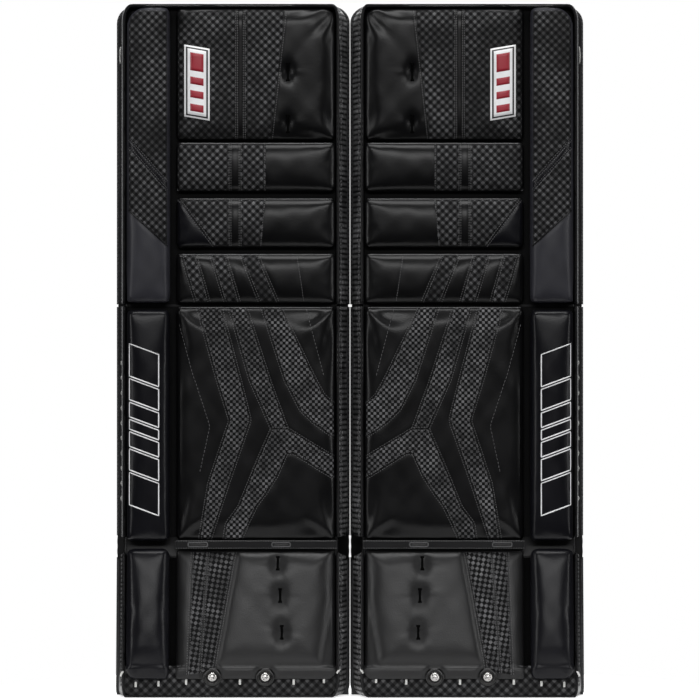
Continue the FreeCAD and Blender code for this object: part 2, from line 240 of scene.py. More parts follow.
def new_piece(name, points, faces, *materials):
    """A piece with doubled points joined and every face turned outwards."""
    mesh = bpy.data.meshes.new(name)
    mesh.from_pydata([tuple(p) for p in points], [], faces)
    shape = bmesh.new()
    shape.from_mesh(mesh)
    bmesh.ops.remove_doubles(shape, verts=shape.verts, dist=0.01 * MM)
    bmesh.ops.recalc_face_normals(shape, faces=shape.faces)
    shape.to_mesh(mesh)
    shape.free()
    return placed(name, mesh, materials)


def joined(name, pieces):
    """One piece from several, keeping their materials."""
    points, faces, slots, materials = [], [], [], []
    for piece in pieces:
        first = len(points)
        points += [tuple(v.co) for v in piece.data.vertices]
        own = list(piece.data.materials)
        materials += [material for material in own if material not in materials]
        for face in piece.data.polygons:
            faces.append([first + i for i in face.vertices])
            slots.append(materials.index(own[face.material_index]))
        bpy.data.objects.remove(piece)
    mesh = bpy.data.meshes.new(name)
    mesh.from_pydata(points, [], faces)
    whole = placed(name, mesh, materials)
    mesh.polygons.foreach_set("material_index", slots)
    return whole


def bake(piece):
    """Applies the piece's modifiers."""
    graph = bpy.context.evaluated_depsgraph_get()
    mesh = bpy.data.meshes.new_from_object(piece.evaluated_get(graph), depsgraph=graph)
    piece.modifiers.clear()
    piece.data = mesh
    shade_smooth(mesh)
    return piece


def modify(piece, kind, **settings):
    """Adds one modifier and applies it."""
    modifier = piece.modifiers.new(kind.title(), kind)
    for key, value in settings.items():
        setattr(modifier, key, value)
    return bake(piece)


def points_of(piece):
    points = np.empty(len(piece.data.vertices) * 3)
    piece.data.vertices.foreach_get("co", points)
    return points.reshape(-1, 3)


def move_points(piece, points):
    piece.data.vertices.foreach_set("co", np.asarray(points, float).ravel())
    piece.data.update()


def ring_faces(count, size, first=0, capped=True):
    """The faces that skin count rings of size points each, and close the two ends."""
    faces = []
    for a in range(first, first + (count - 1) * size, size):
        for k in range(size):
            m = (k + 1) % size
            faces.append((a + k, a + m, a + size + m, a + size + k))
    if capped:
        last = first + (count - 1) * size
        faces.append(tuple(range(first, first + size)))
        faces.append(tuple(reversed(range(last, last + size))))
    return faces


def loft(name, rings, *materials, capped=True):
    """A skin over rings of equal count."""
    points = [p for ring in rings for p in ring]
    return new_piece(name, points, ring_faces(len(rings), len(rings[0]), capped=capped), *materials)


def tube(line, radius, material, closed=False, flat=1.0, up=(0, -1, 0)):
    """A cord along a line. up is the surface's normal at its start, and flat squeezes it towards it."""
    line = [Vector(p) for p in line]
    count = len(line)
    up = Vector(up)
    turns = [2 * math.pi * k / 8 for k in range(8)]
    rings = []
    for i, here in enumerate(line):
        before = line[i - 1] if i or closed else here
        after = line[(i + 1) % count] if i < count - 1 or closed else here
        along = (after - before).normalized()
        up = (up - along * up.dot(along)).normalized()
        side = along.cross(up)
        rings.append([here + side * radius * math.cos(a) + up * radius * flat * math.sin(a) for a in turns])
    if closed:
        rings.append(rings[0])
    return loft("cord", rings, material, capped=not closed)


def turned(outline, x, z, material, sides=32):
    """A lathed piece about an axis along Y. outline is (radius, y) pairs from front to back."""
    rings = [[(a, y, b) for a, b in arc((x, z), radius, 0, 360, sides)[:-1]] for radius, y in outline]
    return loft("turned", rings, material)


def grid_faces(rows, columns):
    """The faces of a grid of points that are listed row by row."""
    starts = [r * columns + c for r in range(rows - 1) for c in range(columns - 1)]
    return [(a, a + 1, a + columns + 1, a + columns) for a in starts]


def slab(columns, rows, place, *materials):
    """A closed piece between two grids. place(u, v) gives a near and a far point for two shares."""
    pairs = [place(u, v) for v in rows for u in columns]
    wide, tall, far = len(columns), len(rows), len(pairs)
    faces = grid_faces(tall, wide)
    faces += [tuple(far + i for i in reversed(face)) for face in faces]
    rim = list(range(wide)) + [r * wide + wide - 1 for r in range(1, tall)]
    rim += [(tall - 1) * wide + c for c in range(wide - 2, -1, -1)]
    rim += [r * wide for r in range(tall - 2, 0, -1)]
    faces += [(a, far + a, far + b, b) for a, b in zip(rim, rim[1:] + rim[:1])]
    return new_piece("slab", [near for near, _ in pairs] + [back for _, back in pairs], faces, *materials)


# ---------------------------------------------------------------- soft solids


def inset_ring(outline, inset, y):
    """An outline of (x, z) drawn in by inset on every side, at y."""
    outline = np.array(outline)
    low, high = outline.min(0), outline.max(0)
    centre, size = (low + high) / 2, high - low
    return [(x, y, z) for x, z in centre + (outline - centre) * (size - 2 * inset) / size]


def foam_block(name, low, high, corners):
    """A foam block with rounded front edges, as an even mesh."""
    outline = rounded_box((low.x, low.z), (high.x, high.z), corners)
    edge = 5 * MM
    levels = ((low.y, edge), (low.y + 0.3 * edge, 0.3 * edge), (low.y + edge, 0), (high.y, 0))
    rings = [inset_ring(outline, inset, y) for y, inset in levels]
    return modify(loft(name, rings), "REMESH", mode="VOXEL", voxel_size=4.5 * MM)


def inflate(piece, reach):
    """Cloth under pressure with its back held: the piece swells, by up to reach = (x, y, z)."""
    start = points_of(piece)
    back = start[:, 1].max() - 4 * MM
    held = piece.vertex_groups.new(name="held")
    held.add([int(i) for i in np.where(start[:, 1] > back)[0]], 1.0, "REPLACE")
    cloth = piece.modifiers.new("Cloth", "CLOTH")
    cloth.settings.quality = 5
    cloth.settings.mass = 0.3
    cloth.settings.tension_stiffness = 12
    cloth.settings.compression_stiffness = 12
    cloth.settings.bending_stiffness = 0.6
    cloth.settings.use_pressure = True
    cloth.settings.uniform_pressure_force = 4.0
    cloth.settings.vertex_group_mass = "held"
    cloth.settings.effector_weights.gravity = 0
    cloth.point_cache.frame_start = 1
    cloth.point_cache.frame_end = 20
    for number in range(1, 21):
        SCENE.frame_set(number)
    bake(piece)
    piece.vertex_groups.clear()
    SCENE.frame_set(1)
    swell = points_of(piece) - start
    move_points(piece, start + reach * np.tanh(swell / reach))
    return modify(piece, "SUBSURF", levels=1)


def front_share(points):
    """1 on the front of a cushion, falling to 0 at its back."""
    low, high = points[:, 1].min(), points[:, 1].max()
    return smoothstep((high - points[:, 1]) / (high - low) * 1.6 - 0.3)


def press(piece, depths):
    """Moves a cushion's points back by depths: fully on its front, and less and less towards its back."""
    points = points_of(piece)
    points[:, 1] += depths * front_share(points)
    move_points(piece, points)


def places_of(piece):
    """The (x, z) of each of a piece's points."""
    return points_of(piece)[:, [0, 2]]


def groove(piece, lines, depth, width):
    """Presses sewn channels along lines of (x, z) into the piece's front."""
    for line in lines:
        press(piece, depth * np.exp(-((distance_to(line, places_of(piece)) / width) ** 2)))


def tuft(piece, places, depth, reach, tall):
    """Draws the front in where ties go through the foam. tall stretches each hollow upwards."""
    for place in places:
        distance = np.linalg.norm((places_of(piece) - place) / (reach, reach * tall), axis=1)
        press(piece, depth * (0.8 * np.exp(-distance * distance) + 0.2 * np.exp(-2.0 * distance)))


def wrinkles(piece, places, strength, length):
    """Fine folds that run out from each place, fading with distance."""
    total = 0.0
    for number, place in enumerate(places):
        dx, dz = (places_of(piece) - place).T
        distance = np.hypot(dx, dz)
        angle = np.arctan2(dz, dx)
        rays = np.cos(7 * angle + number * 1.7) + 0.5 * np.cos(13 * angle + number)
        total = total + rays * np.exp(-((distance / length) ** 2)) * smoothstep(distance / (0.25 * length))
    press(piece, strength * total)


def ripple(piece, strength, size, seed):
    """Slow unevenness of leather drawn over foam."""
    phase = np.random.default_rng(seed).uniform(0, 2 * math.pi, (3, 3))
    x, z = places_of(piece).T
    wave = 0.0
    for octave in range(3):
        k = 2 * math.pi / (size / (1 + octave * 0.7))
        wave = wave + np.sin(k * x + phase[octave, 0]) * np.sin(k * z * 0.8 + phase[octave, 1])
    press(piece, strength * wave / 3)


def puff(piece, outline, rise, edge):
    """Raises the front inside an outline of (x, z), rounding it off over its edge."""
    places = places_of(piece)
    x, z = places.T
    inside = np.zeros(len(places), bool)
    closed = outline + outline[:1]
    for a, b in zip(closed, closed[1:]):
        spans = (a[1] > z) != (b[1] > z)
        inside ^= spans & (x < a[0] + (z - a[1]) * (b[0] - a[0]) / (b[1] - a[1]))
    share = np.clip(distance_to(closed, places) / edge, 0, 1) * inside
    press(piece, -rise * np.sqrt(1 - (1 - share) ** 2))


SWELL = 1.2 * MM  # what a cushion's sides grow by when it swells


def swollen(name, low, high, corners, crown_height, seed):
    """A cushion that fills its CAD solid's box once it has swollen."""
    inner_low = low + Vector((SWELL, crown_height, SWELL))
    inner_high = high - Vector((SWELL, 0, SWELL))
    piece = foam_block(name, inner_low, inner_high, corners)
    inflate(piece, np.array((SWELL, crown_height, SWELL)))
    points = points_of(piece)
    start, end = points.min(0), points.max(0)
    move_points(piece, np.array(low) + (points - start) / (end - start) * np.array(high - low))
    ripple(piece, 0.3 * MM, 70 * MM, seed)
    return piece


# ---------------------------------------------------------------- materials


class Shader:
    """A node material under construction."""

    def __init__(self, name):
        self.material = bpy.data.materials.new(name)
        self.material.use_nodes = True
        self.tree = self.material.node_tree
        self.surface = self.tree.nodes["Principled BSDF"]

    def feed(self, socket, value):
        """Sets a socket to a value, or links another socket to it."""
        if isinstance(value, bpy.types.NodeSocket):
            self.tree.links.new(value, socket)
        else:
            socket.default_value = value

    def node(self, kind, values, **settings):
        node = self.tree.nodes.new("ShaderNode" + kind)
        for key, value in settings.items():
            setattr(node, key, value)
        for key, value in values.items():
            self.feed(node.inputs[key], value)
        return node

    def math(self, operation, *values):
        return self.node("Math", dict(enumerate(values)), operation=operation).outputs[0]

    def ramp(self, value, low, high, out_low, out_high):
        """value taken smoothly from low..high to out_low..out_high."""
        values = {"Value": value, "From Min": low, "From Max": high, "To Min": out_low, "To Max": out_high}
        return self.node("MapRange", values, interpolation_type="SMOOTHSTEP").outputs[0]

    def blend(self, share, dark, light):
        return self.node("Mix", {0: share, 6: (*dark, 1), 7: (*light, 1)}, data_type="RGBA").outputs[2]

    def set(self, **values):
        for key, value in values.items():
            self.feed(self.surface.inputs[key.replace("_", " ")], value)

    def bump(self, height, distance):
        node = self.node("Bump", {"Height": height, "Distance": distance, "Strength": 1.0})
        self.set(Normal=node.outputs["Normal"])

    def place(self):
        return self.node("TexCoord", {}).outputs["Object"]

    def noise(self, scale, detail):
        values = {"Vector": self.place(), "Scale": scale, "Detail": detail}
        return self.node("TexNoise", values).outputs["Fac"]

    def cells(self, scale):
        return self.node("TexVoronoi", {"Vector": self.place(), "Scale": scale}).outputs["Distance"]

    def waves(self, cell, plane, turn):
        """Two crossing sine waves in one plane of the frame, cell across."""
        parts = self.node("SeparateXYZ", {"Vector": self.place()}).outputs
        u, v = (parts["XYZ".index(letter)] for letter in plane)
        c, s = math.cos(turn), math.sin(turn)
        along = self.math("ADD", self.math("MULTIPLY", u, c), self.math("MULTIPLY", v, s))
        up = self.math("SUBTRACT", self.math("MULTIPLY", v, c), self.math("MULTIPLY", u, s))
        return [self.math("SINE", self.math("MULTIPLY", part, math.pi / cell)) for part in (along, up)]

    def chequer(self, cell, plane, turn):
        """0 to 1 in a chequer of rounded squares, cell across."""
        return self.ramp(self.math("MULTIPLY", *self.waves(cell, plane, turn)), -0.2, 0.25, 0.0, 1.0)

    def lattice(self, cell, plane, turn):
        """0 to 1 in strips that cross: dark between them, and lightest where two cross."""
        strips = [self.ramp(wave, -0.35, 0.35, 0.0, 0.5) for wave in self.waves(cell, plane, turn)]
        return self.math("ADD", *strips)


def scaled(tone, factor):
    return [min(1.0, t * factor) for t in tone]


def leather(name, tone, rough, grain=0.05 * MM, gloss=0.22):
    """Smooth synthetic leather: fine grain, uneven gloss and slightly uneven colour."""
    shader = Shader(name)
    cloud = shader.noise(28.0, 3.0)
    shader.set(Base_Color=shader.blend(cloud, scaled(tone, 0.72), scaled(tone, 1.35)))
    shader.set(Roughness=shader.ramp(cloud, 0.3, 0.7, rough - 0.02, rough + 0.03), Specular_IOR_Level=gloss)
    fine = shader.math("MULTIPLY", shader.noise(300.0, 3.0), 0.8)
    shader.bump(shader.math("ADD", shader.cells(820.0), fine), grain)
    return shader.material


def woven(name, dark, light, rough, cell, plane="XZ", turn=0.0, strips=False):
    """Embossed leather with a raised, shinier pattern: a chequer, or a lattice of crossing strips. The raised
    cells are also painted lighter, unevenly in clouds and specks: a painted sheen.
    """
    shader = Shader(name)
    square = shader.lattice(cell, plane, turn) if strips else shader.chequer(cell, plane, turn)
    raised = shader.ramp(square, 0.3, 1.0, 0.0, 1.0)
    cloud = shader.ramp(shader.noise(22.0, 3.0), 0.3, 0.7, 0.25, 1.0)
    speckle = shader.ramp(shader.noise(150.0, 2.0), 0.35, 0.65, 0.5, 1.2)
    # painted sheen: the raised cells' colour is lightened, in clouds and specks, to stand in for highlights
    # on them
    shine = shader.math("MULTIPLY", raised, shader.math("MULTIPLY", cloud, speckle))
    shader.set(Base_Color=shader.blend(shine, dark, light), Specular_IOR_Level=0.17)
    shader.set(Roughness=shader.ramp(square, 0.0, 1.0, rough + 0.5, rough))
    fine = shader.math("MULTIPLY", shader.cells(900.0), 0.12)
    shader.bump(shader.math("ADD", square, fine), 0.4 * MM)
    return shader.material


def cloth_tape(name, tone, rough, rib):
    """Woven tape: fine crossing threads."""
    shader = Shader(name)
    thread = shader.chequer(rib, "XZ", 0.0)
    low = shader.math("MULTIPLY", thread, shader.ramp(shader.noise(60.0, 3.0), 0.2, 0.8, 0.6, 1.0))
    shader.set(Base_Color=shader.blend(low, scaled(tone, 0.5), [t * 1.5 for t in tone]))
    shader.set(Roughness=rough, Specular_IOR_Level=0.3, Sheen_Weight=0.15, Sheen_Roughness=0.5)
    shader.bump(thread, 0.25 * MM)
    return shader.material


def plain(name, tone, rough, metal=0.0, marks=90.0):
    """A moulded, painted or metal surface with faint marks and uneven gloss."""
    shader = Shader(name)
    cloud = shader.noise(marks, 4.0)
    shader.set(Base_Color=shader.blend(cloud, scaled(tone, 0.85), scaled(tone, 1.12)), Metallic=metal)
    shader.set(Roughness=shader.ramp(cloud, 0.3, 0.7, rough - 0.04, rough + 0.07))
    shader.bump(shader.noise(marks * 10, 2.0), 0.008 * MM)
    return shader.material


DIAGONAL = math.pi / 4
BLACK = (0.0015, 0.0015, 0.0017)
SMOOTH = leather("smooth_leather", (0.0028, 0.0028, 0.0031), 0.30)
BLUISH = leather("roll_leather", (0.0034, 0.0034, 0.0048), 0.30, gloss=0.2)
# A lighter, bluer copy of the roll leather: a painted highlight on the thigh's outer roll.
ROLL_PAINTED_HIGHLIGHT = leather("thigh_roll_leather_painted_highlight", (0.016, 0.016, 0.021), 0.46, gloss=0.36)
BINDING = leather("binding_leather", (0.004, 0.004, 0.0045), 0.40, 0.04 * MM)
# The welt's light grey is a painted highlight along the cushions' upper edges.
WELT_PAINTED_HIGHLIGHT = leather("welt_leather_painted_highlight", (0.06, 0.06, 0.062), 0.24, 0.02 * MM, 0.6)
PUFFY = leather("boot_leather", (0.007, 0.007, 0.0074), 0.38, 0.07 * MM, 0.34)
SUEDE = leather("landing_leather", (0.022, 0.022, 0.024), 0.8, 0.15 * MM)
# The light tone of each woven leather below is the painted sheen of its raised cells.
LATTICE = woven("lattice_leather", BLACK, (0.10, 0.10, 0.104), 0.34, 3.4 * MM, turn=DIAGONAL, strips=True)
CHEQUER = woven("chequer_leather", BLACK, (0.135, 0.135, 0.14), 0.33, 3.5 * MM)
BOOT_CHEQUER = woven("boot_chequer_leather", BLACK, (0.10, 0.10, 0.104), 0.32, 4.2 * MM, turn=0.62)
TOE_LATTICE = woven("toe_lattice_leather", BLACK, (0.05, 0.05, 0.052), 0.36, 4.0 * MM, "XZ", DIAGONAL, True)
# The gusset's squares are far lighter than the other patterns' as painted light: they stand in for light that
# barely reaches between the pads.
GUSSET_PAINTED_LIGHT = woven("gusset_leather_painted_light", BLACK, (0.55, 0.55, 0.56), 0.34, 4.4 * MM, "YZ", DIAGONAL)
NYLON = cloth_tape("lining_nylon", (0.020, 0.020, 0.022), 0.6, 0.9 * MM)
THREAD = cloth_tape("stitch_thread", (0.085, 0.085, 0.088), 0.6, 0.5 * MM)
# Near-black and dull: painted shade of the ties' slits.
TIE_CORD_PAINTED_SHADE = leather("tie_cord_painted_shade", (0.0006, 0.0006, 0.0006), 0.8, 0.02 * MM, 0.04)
PIPING = leather("grey_piping", (0.22, 0.22, 0.225), 0.38, 0.03 * MM)
WEBBING = cloth_tape("nylon_webbing", (0.022, 0.022, 0.023), 0.6, 1.5 * MM)
LACE = cloth_tape("white_lace", (0.68, 0.68, 0.66), 0.7, 0.7 * MM)
STEEL = plain("bolt_steel", (0.42, 0.41, 0.40), 0.22, metal=1.0, marks=20.0)
CUP = leather("cup_washer", (0.0025, 0.0025, 0.0025), 0.2, 0.01 * MM, 0.35)
WHITE_PRINT = plain("white_vinyl", (0.8, 0.8, 0.81), 0.4)
RED_PRINT = plain("red_vinyl", (0.27, 0.008, 0.02), 0.42)
# Black print for the badge's line, and also painted shade in the break strip's slots.
BLACK_PRINT_AND_SLOT_SHADE = plain("black_vinyl_and_slot_shade", (0.003, 0.003, 0.003), 0.4)


# ---------------------------------------------------------------- things laid on a surface

PANEL_LIFT = 0.35 * MM
HEM = 0.8 * MM
HEM_DEPTH = 0.6 * MM
FORWARD, BACKWARD = Vector((0, -1, 0)), Vector((0, 1, 0))


class Front:
    """The front of some pieces, as seen along +Y."""

    def __init__(self, *pieces):
        points, faces = [], []
        for piece in pieces:
            first = len(points)
            points += [v.co.copy() for v in piece.data.vertices]
            faces += [[first + i for i in face.vertices] for face in piece.data.polygons]
        self.tree = BVHTree.FromPolygons(points, faces)
        self.near = min(p.y for p in points)

    def on(self, x, z, lift):
        """The place at (x, z), lift in front of the surface."""
        hit = self.tree.ray_cast(Vector((x, self.near - 0.1, z)), BACKWARD)[0]
        if hit is None:
            hit = self.tree.find_nearest(Vector((x, self.near, z)))[0]
        return Vector((x, hit.y - lift, z))

    def along(self, places, lift):
        return [self.on(x, z, lift) for x, z in places]


def patch(front, left, right, material, lift, cell=2.6 * MM):
    """Leather sewn on between two edges, each a line of (x, z). Its hem goes down to the surface."""
    rows = shares(max(length_of(left), length_of(right)), cell, HEM)
    edges = resample(left, 200), resample(right, 200)
    columns = shares(float(np.linalg.norm(edges[0] - edges[1], axis=1).mean()), cell, HEM)
    points = []
    for v in rows:
        ends = [np.array([np.interp(v * 199, range(200), edge[:, i]) for i in (0, 1)]) for edge in edges]
        for u in columns:
            x, z = ends[0] + (ends[1] - ends[0]) * u
            points.append(front.on(x, z, -HEM_DEPTH if v in EDGES or u in EDGES else lift))
    piece = new_piece("patch", points, grid_faces(len(rows), len(columns)), material)
    if sum(face.normal.y * face.area for face in piece.data.polygons) > 0:
        piece.data.flip_normals()
    return piece


def sew_on(cushion, panels, cell=2.6 * MM):
    """Patches on a cushion, from (left edge, right edge, material, lift), and the front they make."""
    bare = Front(cushion)
    pieces = [patch(bare, *panel, cell) for panel in panels]
    return pieces, Front(cushion, *pieces)


def across(front, lines, lift=0.25 * MM):
    """Lines of (x, z) as rows of places on a front, each with the surface's normal."""
    even = [resample(line, max(2, int(length_of(line) / (2 * MM)))) for line in lines]
    return [(front.along(line, lift), FORWARD) for line in even]


def stitches(rows, pitch=2.9 * MM, size=0.42 * MM):
    """Single stitches along rows. A row is its places and the surface's normal."""
    points, faces = [], []
    for places, normal in rows:
        places = [Vector(p) for p in resample(places, max(2, int(length_of(places) / pitch)))]
        for a, b in zip(places, places[1:]):
            middle, half = (a + b) / 2, (b - a) * 0.34
            side = half.cross(normal).normalized()
            faces += ring_faces(4, 4, len(points))
            for t, swell in ((-1.0, 0.3), (-0.6, 1.0), (0.6, 1.0), (1.0, 0.3)):
                for aside, out in ((1, 0), (0, 1), (-1, 0), (0, -1)):
                    points.append(middle + half * t + (side * aside + normal * out) * size * swell)
    return new_piece("stitches", points, faces, THREAD)


def slit(front, place, tall):
    """A tie's slit: a short upright cord with a bar at its upper and lower end. The cord is near-black and
    dull: painted shade of the slit's hollow.
    """
    x, z = place
    upright = [(x, z + t * tall / 2) for t in np.linspace(-1, 1, 9)]
    pieces = [tube(front.along(upright, 0.1 * MM), 1.5 * MM, TIE_CORD_PAINTED_SHADE)]
    for end in (-tall / 2, tall / 2):
        bar = [(x + t * 2.2 * MM, z + end) for t in (-1, 0, 1)]
        pieces.append(tube(front.along(bar, 0.3 * MM), 1.3 * MM, TIE_CORD_PAINTED_SHADE))
    return joined("slit", pieces)


def welt(front, low, high):
    """The piped seam along a cushion's upper edge, in light grey leather: its colour is a painted highlight
    along the edge.
    """
    line = [(x, high.z - 1.6 * MM) for x in np.linspace(low.x + 4 * MM, high.x - 4 * MM, 50)]
    return tube(front.along(line, 0.2 * MM), 0.85 * MM, WELT_PAINTED_HIGHLIGHT)


def lace_mark(centre, tall, normal, lean=0.0):
    """A short run of lace that shows between two eyelets."""
    normal = Vector(normal)
    side = normal.cross(Vector((0, 0, 1)))
    line = []
    for t in np.linspace(-1, 1, 9):
        lift = 0.9 * MM * (1 - t * t) - 0.4 * MM
        line.append(centre + Vector((0, 0, t * tall / 2)) + side * lean * t + normal * lift)
    return tube(line, 1.35 * MM, LACE, flat=0.6, up=normal)


# ---------------------------------------------------------------- handing over

DRAWN_UPRIGHT = ("boot", "boot_strap")  # the bodies whose pieces are tilted when they are handed over


def mirrored(piece):
    """The right pad's copy of a piece."""
    twin = piece.copy()
    twin.data = piece.data.copy()
    SCENE.collection.objects.link(twin)
    twin.data.transform(Matrix.Scale(-1, 4, Vector((1, 0, 0))))
    twin.data.flip_normals()
    return twin


def stand_up(piece):
    """Tilts a piece of the boot about its hinge line, and cuts it off flat at the floor."""
    piece.data.transform(TILTED)
    points = points_of(piece)
    points[:, 2] = np.maximum(points[:, 2], 0.0)
    move_points(piece, points)


def hand_over(piece, body, slot, *nodes, fill=None, joins=None):
    """Gives a piece and its mirror image their bodies. A piece given joins, which crosses a break, gets no
    body and stays in place; the body and heights in joins = (body, start z, end z) are not read.
    """
    name = piece.name
    if body in DRAWN_UPRIGHT:
        stand_up(piece)
    for side, copy in zip(SIDES, (piece, mirrored(piece))):
        copy.name = f"{side}_{name}"
        copy.data.name = copy.name
        if joins:
            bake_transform(copy)
        else:
            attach(copy, f"{side}_{body}")
        if nodes:
            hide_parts(*[f"{side}_{node}" for node in nodes])


def trim(name, body, slot, pieces, *nodes, **more):
    """Hands over several panels, tapes, cords or rows of stitches as one piece."""
    hand_over(joined(name, pieces), body, slot, *nodes, **more)


def finish_cushion(piece, material, body, slot, fill=0.85):
    """Covers a cushion and hands it over in place of the CAD node that it is named after."""
    piece.data.materials.append(material)
    hand_over(piece, body, slot, piece.name, fill=fill)


# ---------------------------------------------------------------- front cushions


def thigh_face():
    """The thigh's main cushion: two lattice panels with a tape between them, a badge and two ties."""
    name = "thigh_face"
    face = swollen(name, *box(name), [2 * MM, 2 * MM, 5 * MM, 15 * MM], 3.4 * MM, 11)
    seam, outer = at(name, (77, 1.5), (60, 156)), at(name, (188.5, 1.5), (189, 154))
    tapes = [at(name, (x, 1.5), (x, 157)) for x in (109, 118)]
    ties = at(name, (57, 82), (57, 20))
    groove(face, [seam], 1.0 * MM, 2.2 * MM)
    groove(face, tapes, 0.7 * MM, 2.0 * MM)
    tuft(face, ties, 5.0 * MM, 7 * MM, 1.6)
    wrinkles(face, ties, 0.2 * MM, 16 * MM)
    lattices = [(tapes[1], outer, LATTICE, PANEL_LIFT), (seam, tapes[0], LATTICE, PANEL_LIFT)]
    panels, top = sew_on(face, [*lattices, (*tapes, SMOOTH, 0.6 * MM)])
    rows = across(top, [beside(seam, 1.6 * MM), *double(tapes[0], 1.1 * MM), *double(tapes[1], 1.1 * MM)])
    trim("thigh_face_stitching", "thigh", "face_leather", [stitches(rows)])
    trim("thigh_face_ties", "thigh", "face_leather", [slit(top, place, 20 * MM) for place in ties])
    badge(top)
    trim("thigh_face_panels", "thigh", "face_leather", panels)
    finish_cushion(face, SMOOTH, "thigh", "face_leather")


def badge(front):
    """A plain slanted badge: a white ground with a black line round it, and dark red bars."""
    low, high = at("thigh_face", (151, 24), (180, 109))
    wide, tall, lean = high[0] - low[0], high[1] - low[1], 5 * MM
    fields = [(-0.04, 1.04, -0.01, 1.01, WHITE_PRINT, 0.7), (0.02, 0.98, 0.01, 0.99, BLACK_PRINT_AND_SLOT_SHADE, 0.85),
              (0.09, 0.91, 0.03, 0.97, WHITE_PRINT, 1.0)]
    bars = ((0.08, 0.2), (0.27, 0.39), (0.46, 0.58), (0.65, 0.92))
    fields += [(0.2, 0.8, bottom, top, RED_PRINT, 1.15) for bottom, top in bars]

    def edge(u, *heights):
        return [(low[0] + u * wide, low[1] + v * tall + lean * u) for v in heights]

    pieces = []
    for left, right, bottom, top, material, lift in fields:
        edges = edge(left, bottom, top), edge(right, bottom, top)
        pieces.append(patch(front, *edges, material, lift * MM, 4 * MM))
    trim("thigh_badge", "thigh", "face_leather", pieces)


def knee_roll(name, seed, panels, seams):
    """A knee roll with its panels and seams."""
    low, high = box(name)
    roll = swollen(name, low, high, [4 * MM] * 4, 4.6 * MM, seed)
    groove(roll, seams, 0.6 * MM, 2.0 * MM)
    pieces, top = sew_on(roll, panels)
    trim(name + "_stitching", "thigh", "face_leather", [stitches(across(top, seams)), welt(top, low, high)])
    trim(name + "_panels", "thigh", "face_leather", pieces)
    finish_cushion(roll, SMOOTH, "thigh", "face_leather")


ROLL_LOW, ROLL_HIGH = 2, 58  # where a knee roll's panels end, in millimetres


def knee_rolls():
    """The three rolls: the lattice runs down from the thigh, and the shin's bands run up into the lowest."""
    for number, (name, inner_foot) in enumerate((("knee_roll_upper", 83), ("knee_roll_middle", 88))):
        tapes = [at(name, (x, ROLL_LOW), (x, ROLL_HIGH)) for x in (114, 126)]
        inner = at(name, (inner_foot, ROLL_LOW), (83, ROLL_HIGH))
        outer = at(name, (189, ROLL_LOW), (189, ROLL_HIGH))
        diagonal = at(name, (145, ROLL_LOW), (187, ROLL_HIGH))
        seams = [*double(tapes[0], 1.1 * MM), *double(tapes[1], 1.1 * MM), beside(inner, -1.5 * MM)]
        panels = [(inner, tapes[0], LATTICE, PANEL_LIFT)]
        if name == "knee_roll_upper":
            panels.append((tapes[1], outer, LATTICE, PANEL_LIFT))
        else:
            panels += [(tapes[1], diagonal, LATTICE, PANEL_LIFT), (diagonal, outer, BLUISH, 0.5 * MM)]
            seams += double(diagonal)
        knee_roll(name, 20 + number, panels, seams)
    name = "knee_roll_lower"
    panels, seams = [], []
    for feet, heads in (((151, 167), (167, 184)), ((115, 132), (131, 149)), ((69, 91), (93, 113))):
        edges = [at(name, (foot, ROLL_LOW), (head, ROLL_HIGH)) for foot, head in zip(feet, heads)]
        panels.append((*edges, LATTICE, PANEL_LIFT))
        seams += double(edges[0]) + double(edges[1])
    seams.append(at(name, (38, 3), (46, 57)))
    knee_roll(name, 22, panels, seams)


BANDS = {
    "outer": (
        [(165, 279), (141, 192), (126, 144), (151, 69), (162, 2)],
        [(137, 279), (114, 192), (102, 144), (128, 69), (150, 2)],
    ),
    "middle": ([(127, 279), (102, 192), (76, 134)], [(107, 279), (79, 192), (58, 134)]),
    "middle_down": (
        [(76, 134), (96, 88), (115, 41), (130, 21), (133, 2)],
        [(58, 105), (70, 78), (84, 56), (94, 43), (103, 25), (113, 2)],
    ),
    "middle_in": ([(76, 134), (58, 134), (2, 100)], [(58, 105), (50, 105), (2, 75)]),
    "inner": (
        [(88, 279), (60, 192), (42, 157), (27, 142), (2, 124)],
        [(66, 279), (24, 192), (14, 174), (2, 163)],
    ),
}
SHIN_SEAMS = ([(187, 259), (170, 197), (167, 189), (150, 137), (162, 82)], [(35, 277), (14, 197)])


def shin_face():
    """The shin's main cushion with its chequered bands."""
    name = "shin_face"
    low, high = box(name)
    face = swollen(name, low, high, [3 * MM] * 4, 2.4 * MM, 31)
    bands = [[at(name, *edge) for edge in edges] for edges in BANDS.values()]
    lines = [line for edges in bands for line in edges]
    groove(face, lines, 0.4 * MM, 2.0 * MM)
    panels, top = sew_on(face, [(*edges, CHEQUER, 0.7 * MM) for edges in bands], 2.2 * MM)
    rows = across(top, [row for line in lines for row in double(resample(line, 60), 1.7 * MM)])
    plain_rows = across(top, [at(name, *seam) for seam in SHIN_SEAMS], 0.2 * MM)
    sewn = [stitches(rows), stitches(plain_rows, 4.4 * MM), welt(top, low, high)]
    trim("shin_face_stitching", "shin", "face_leather", sewn)
    trim("shin_face_bands", "shin", "face_leather", panels)
    finish_cushion(face, SMOOTH, "shin", "face_leather")


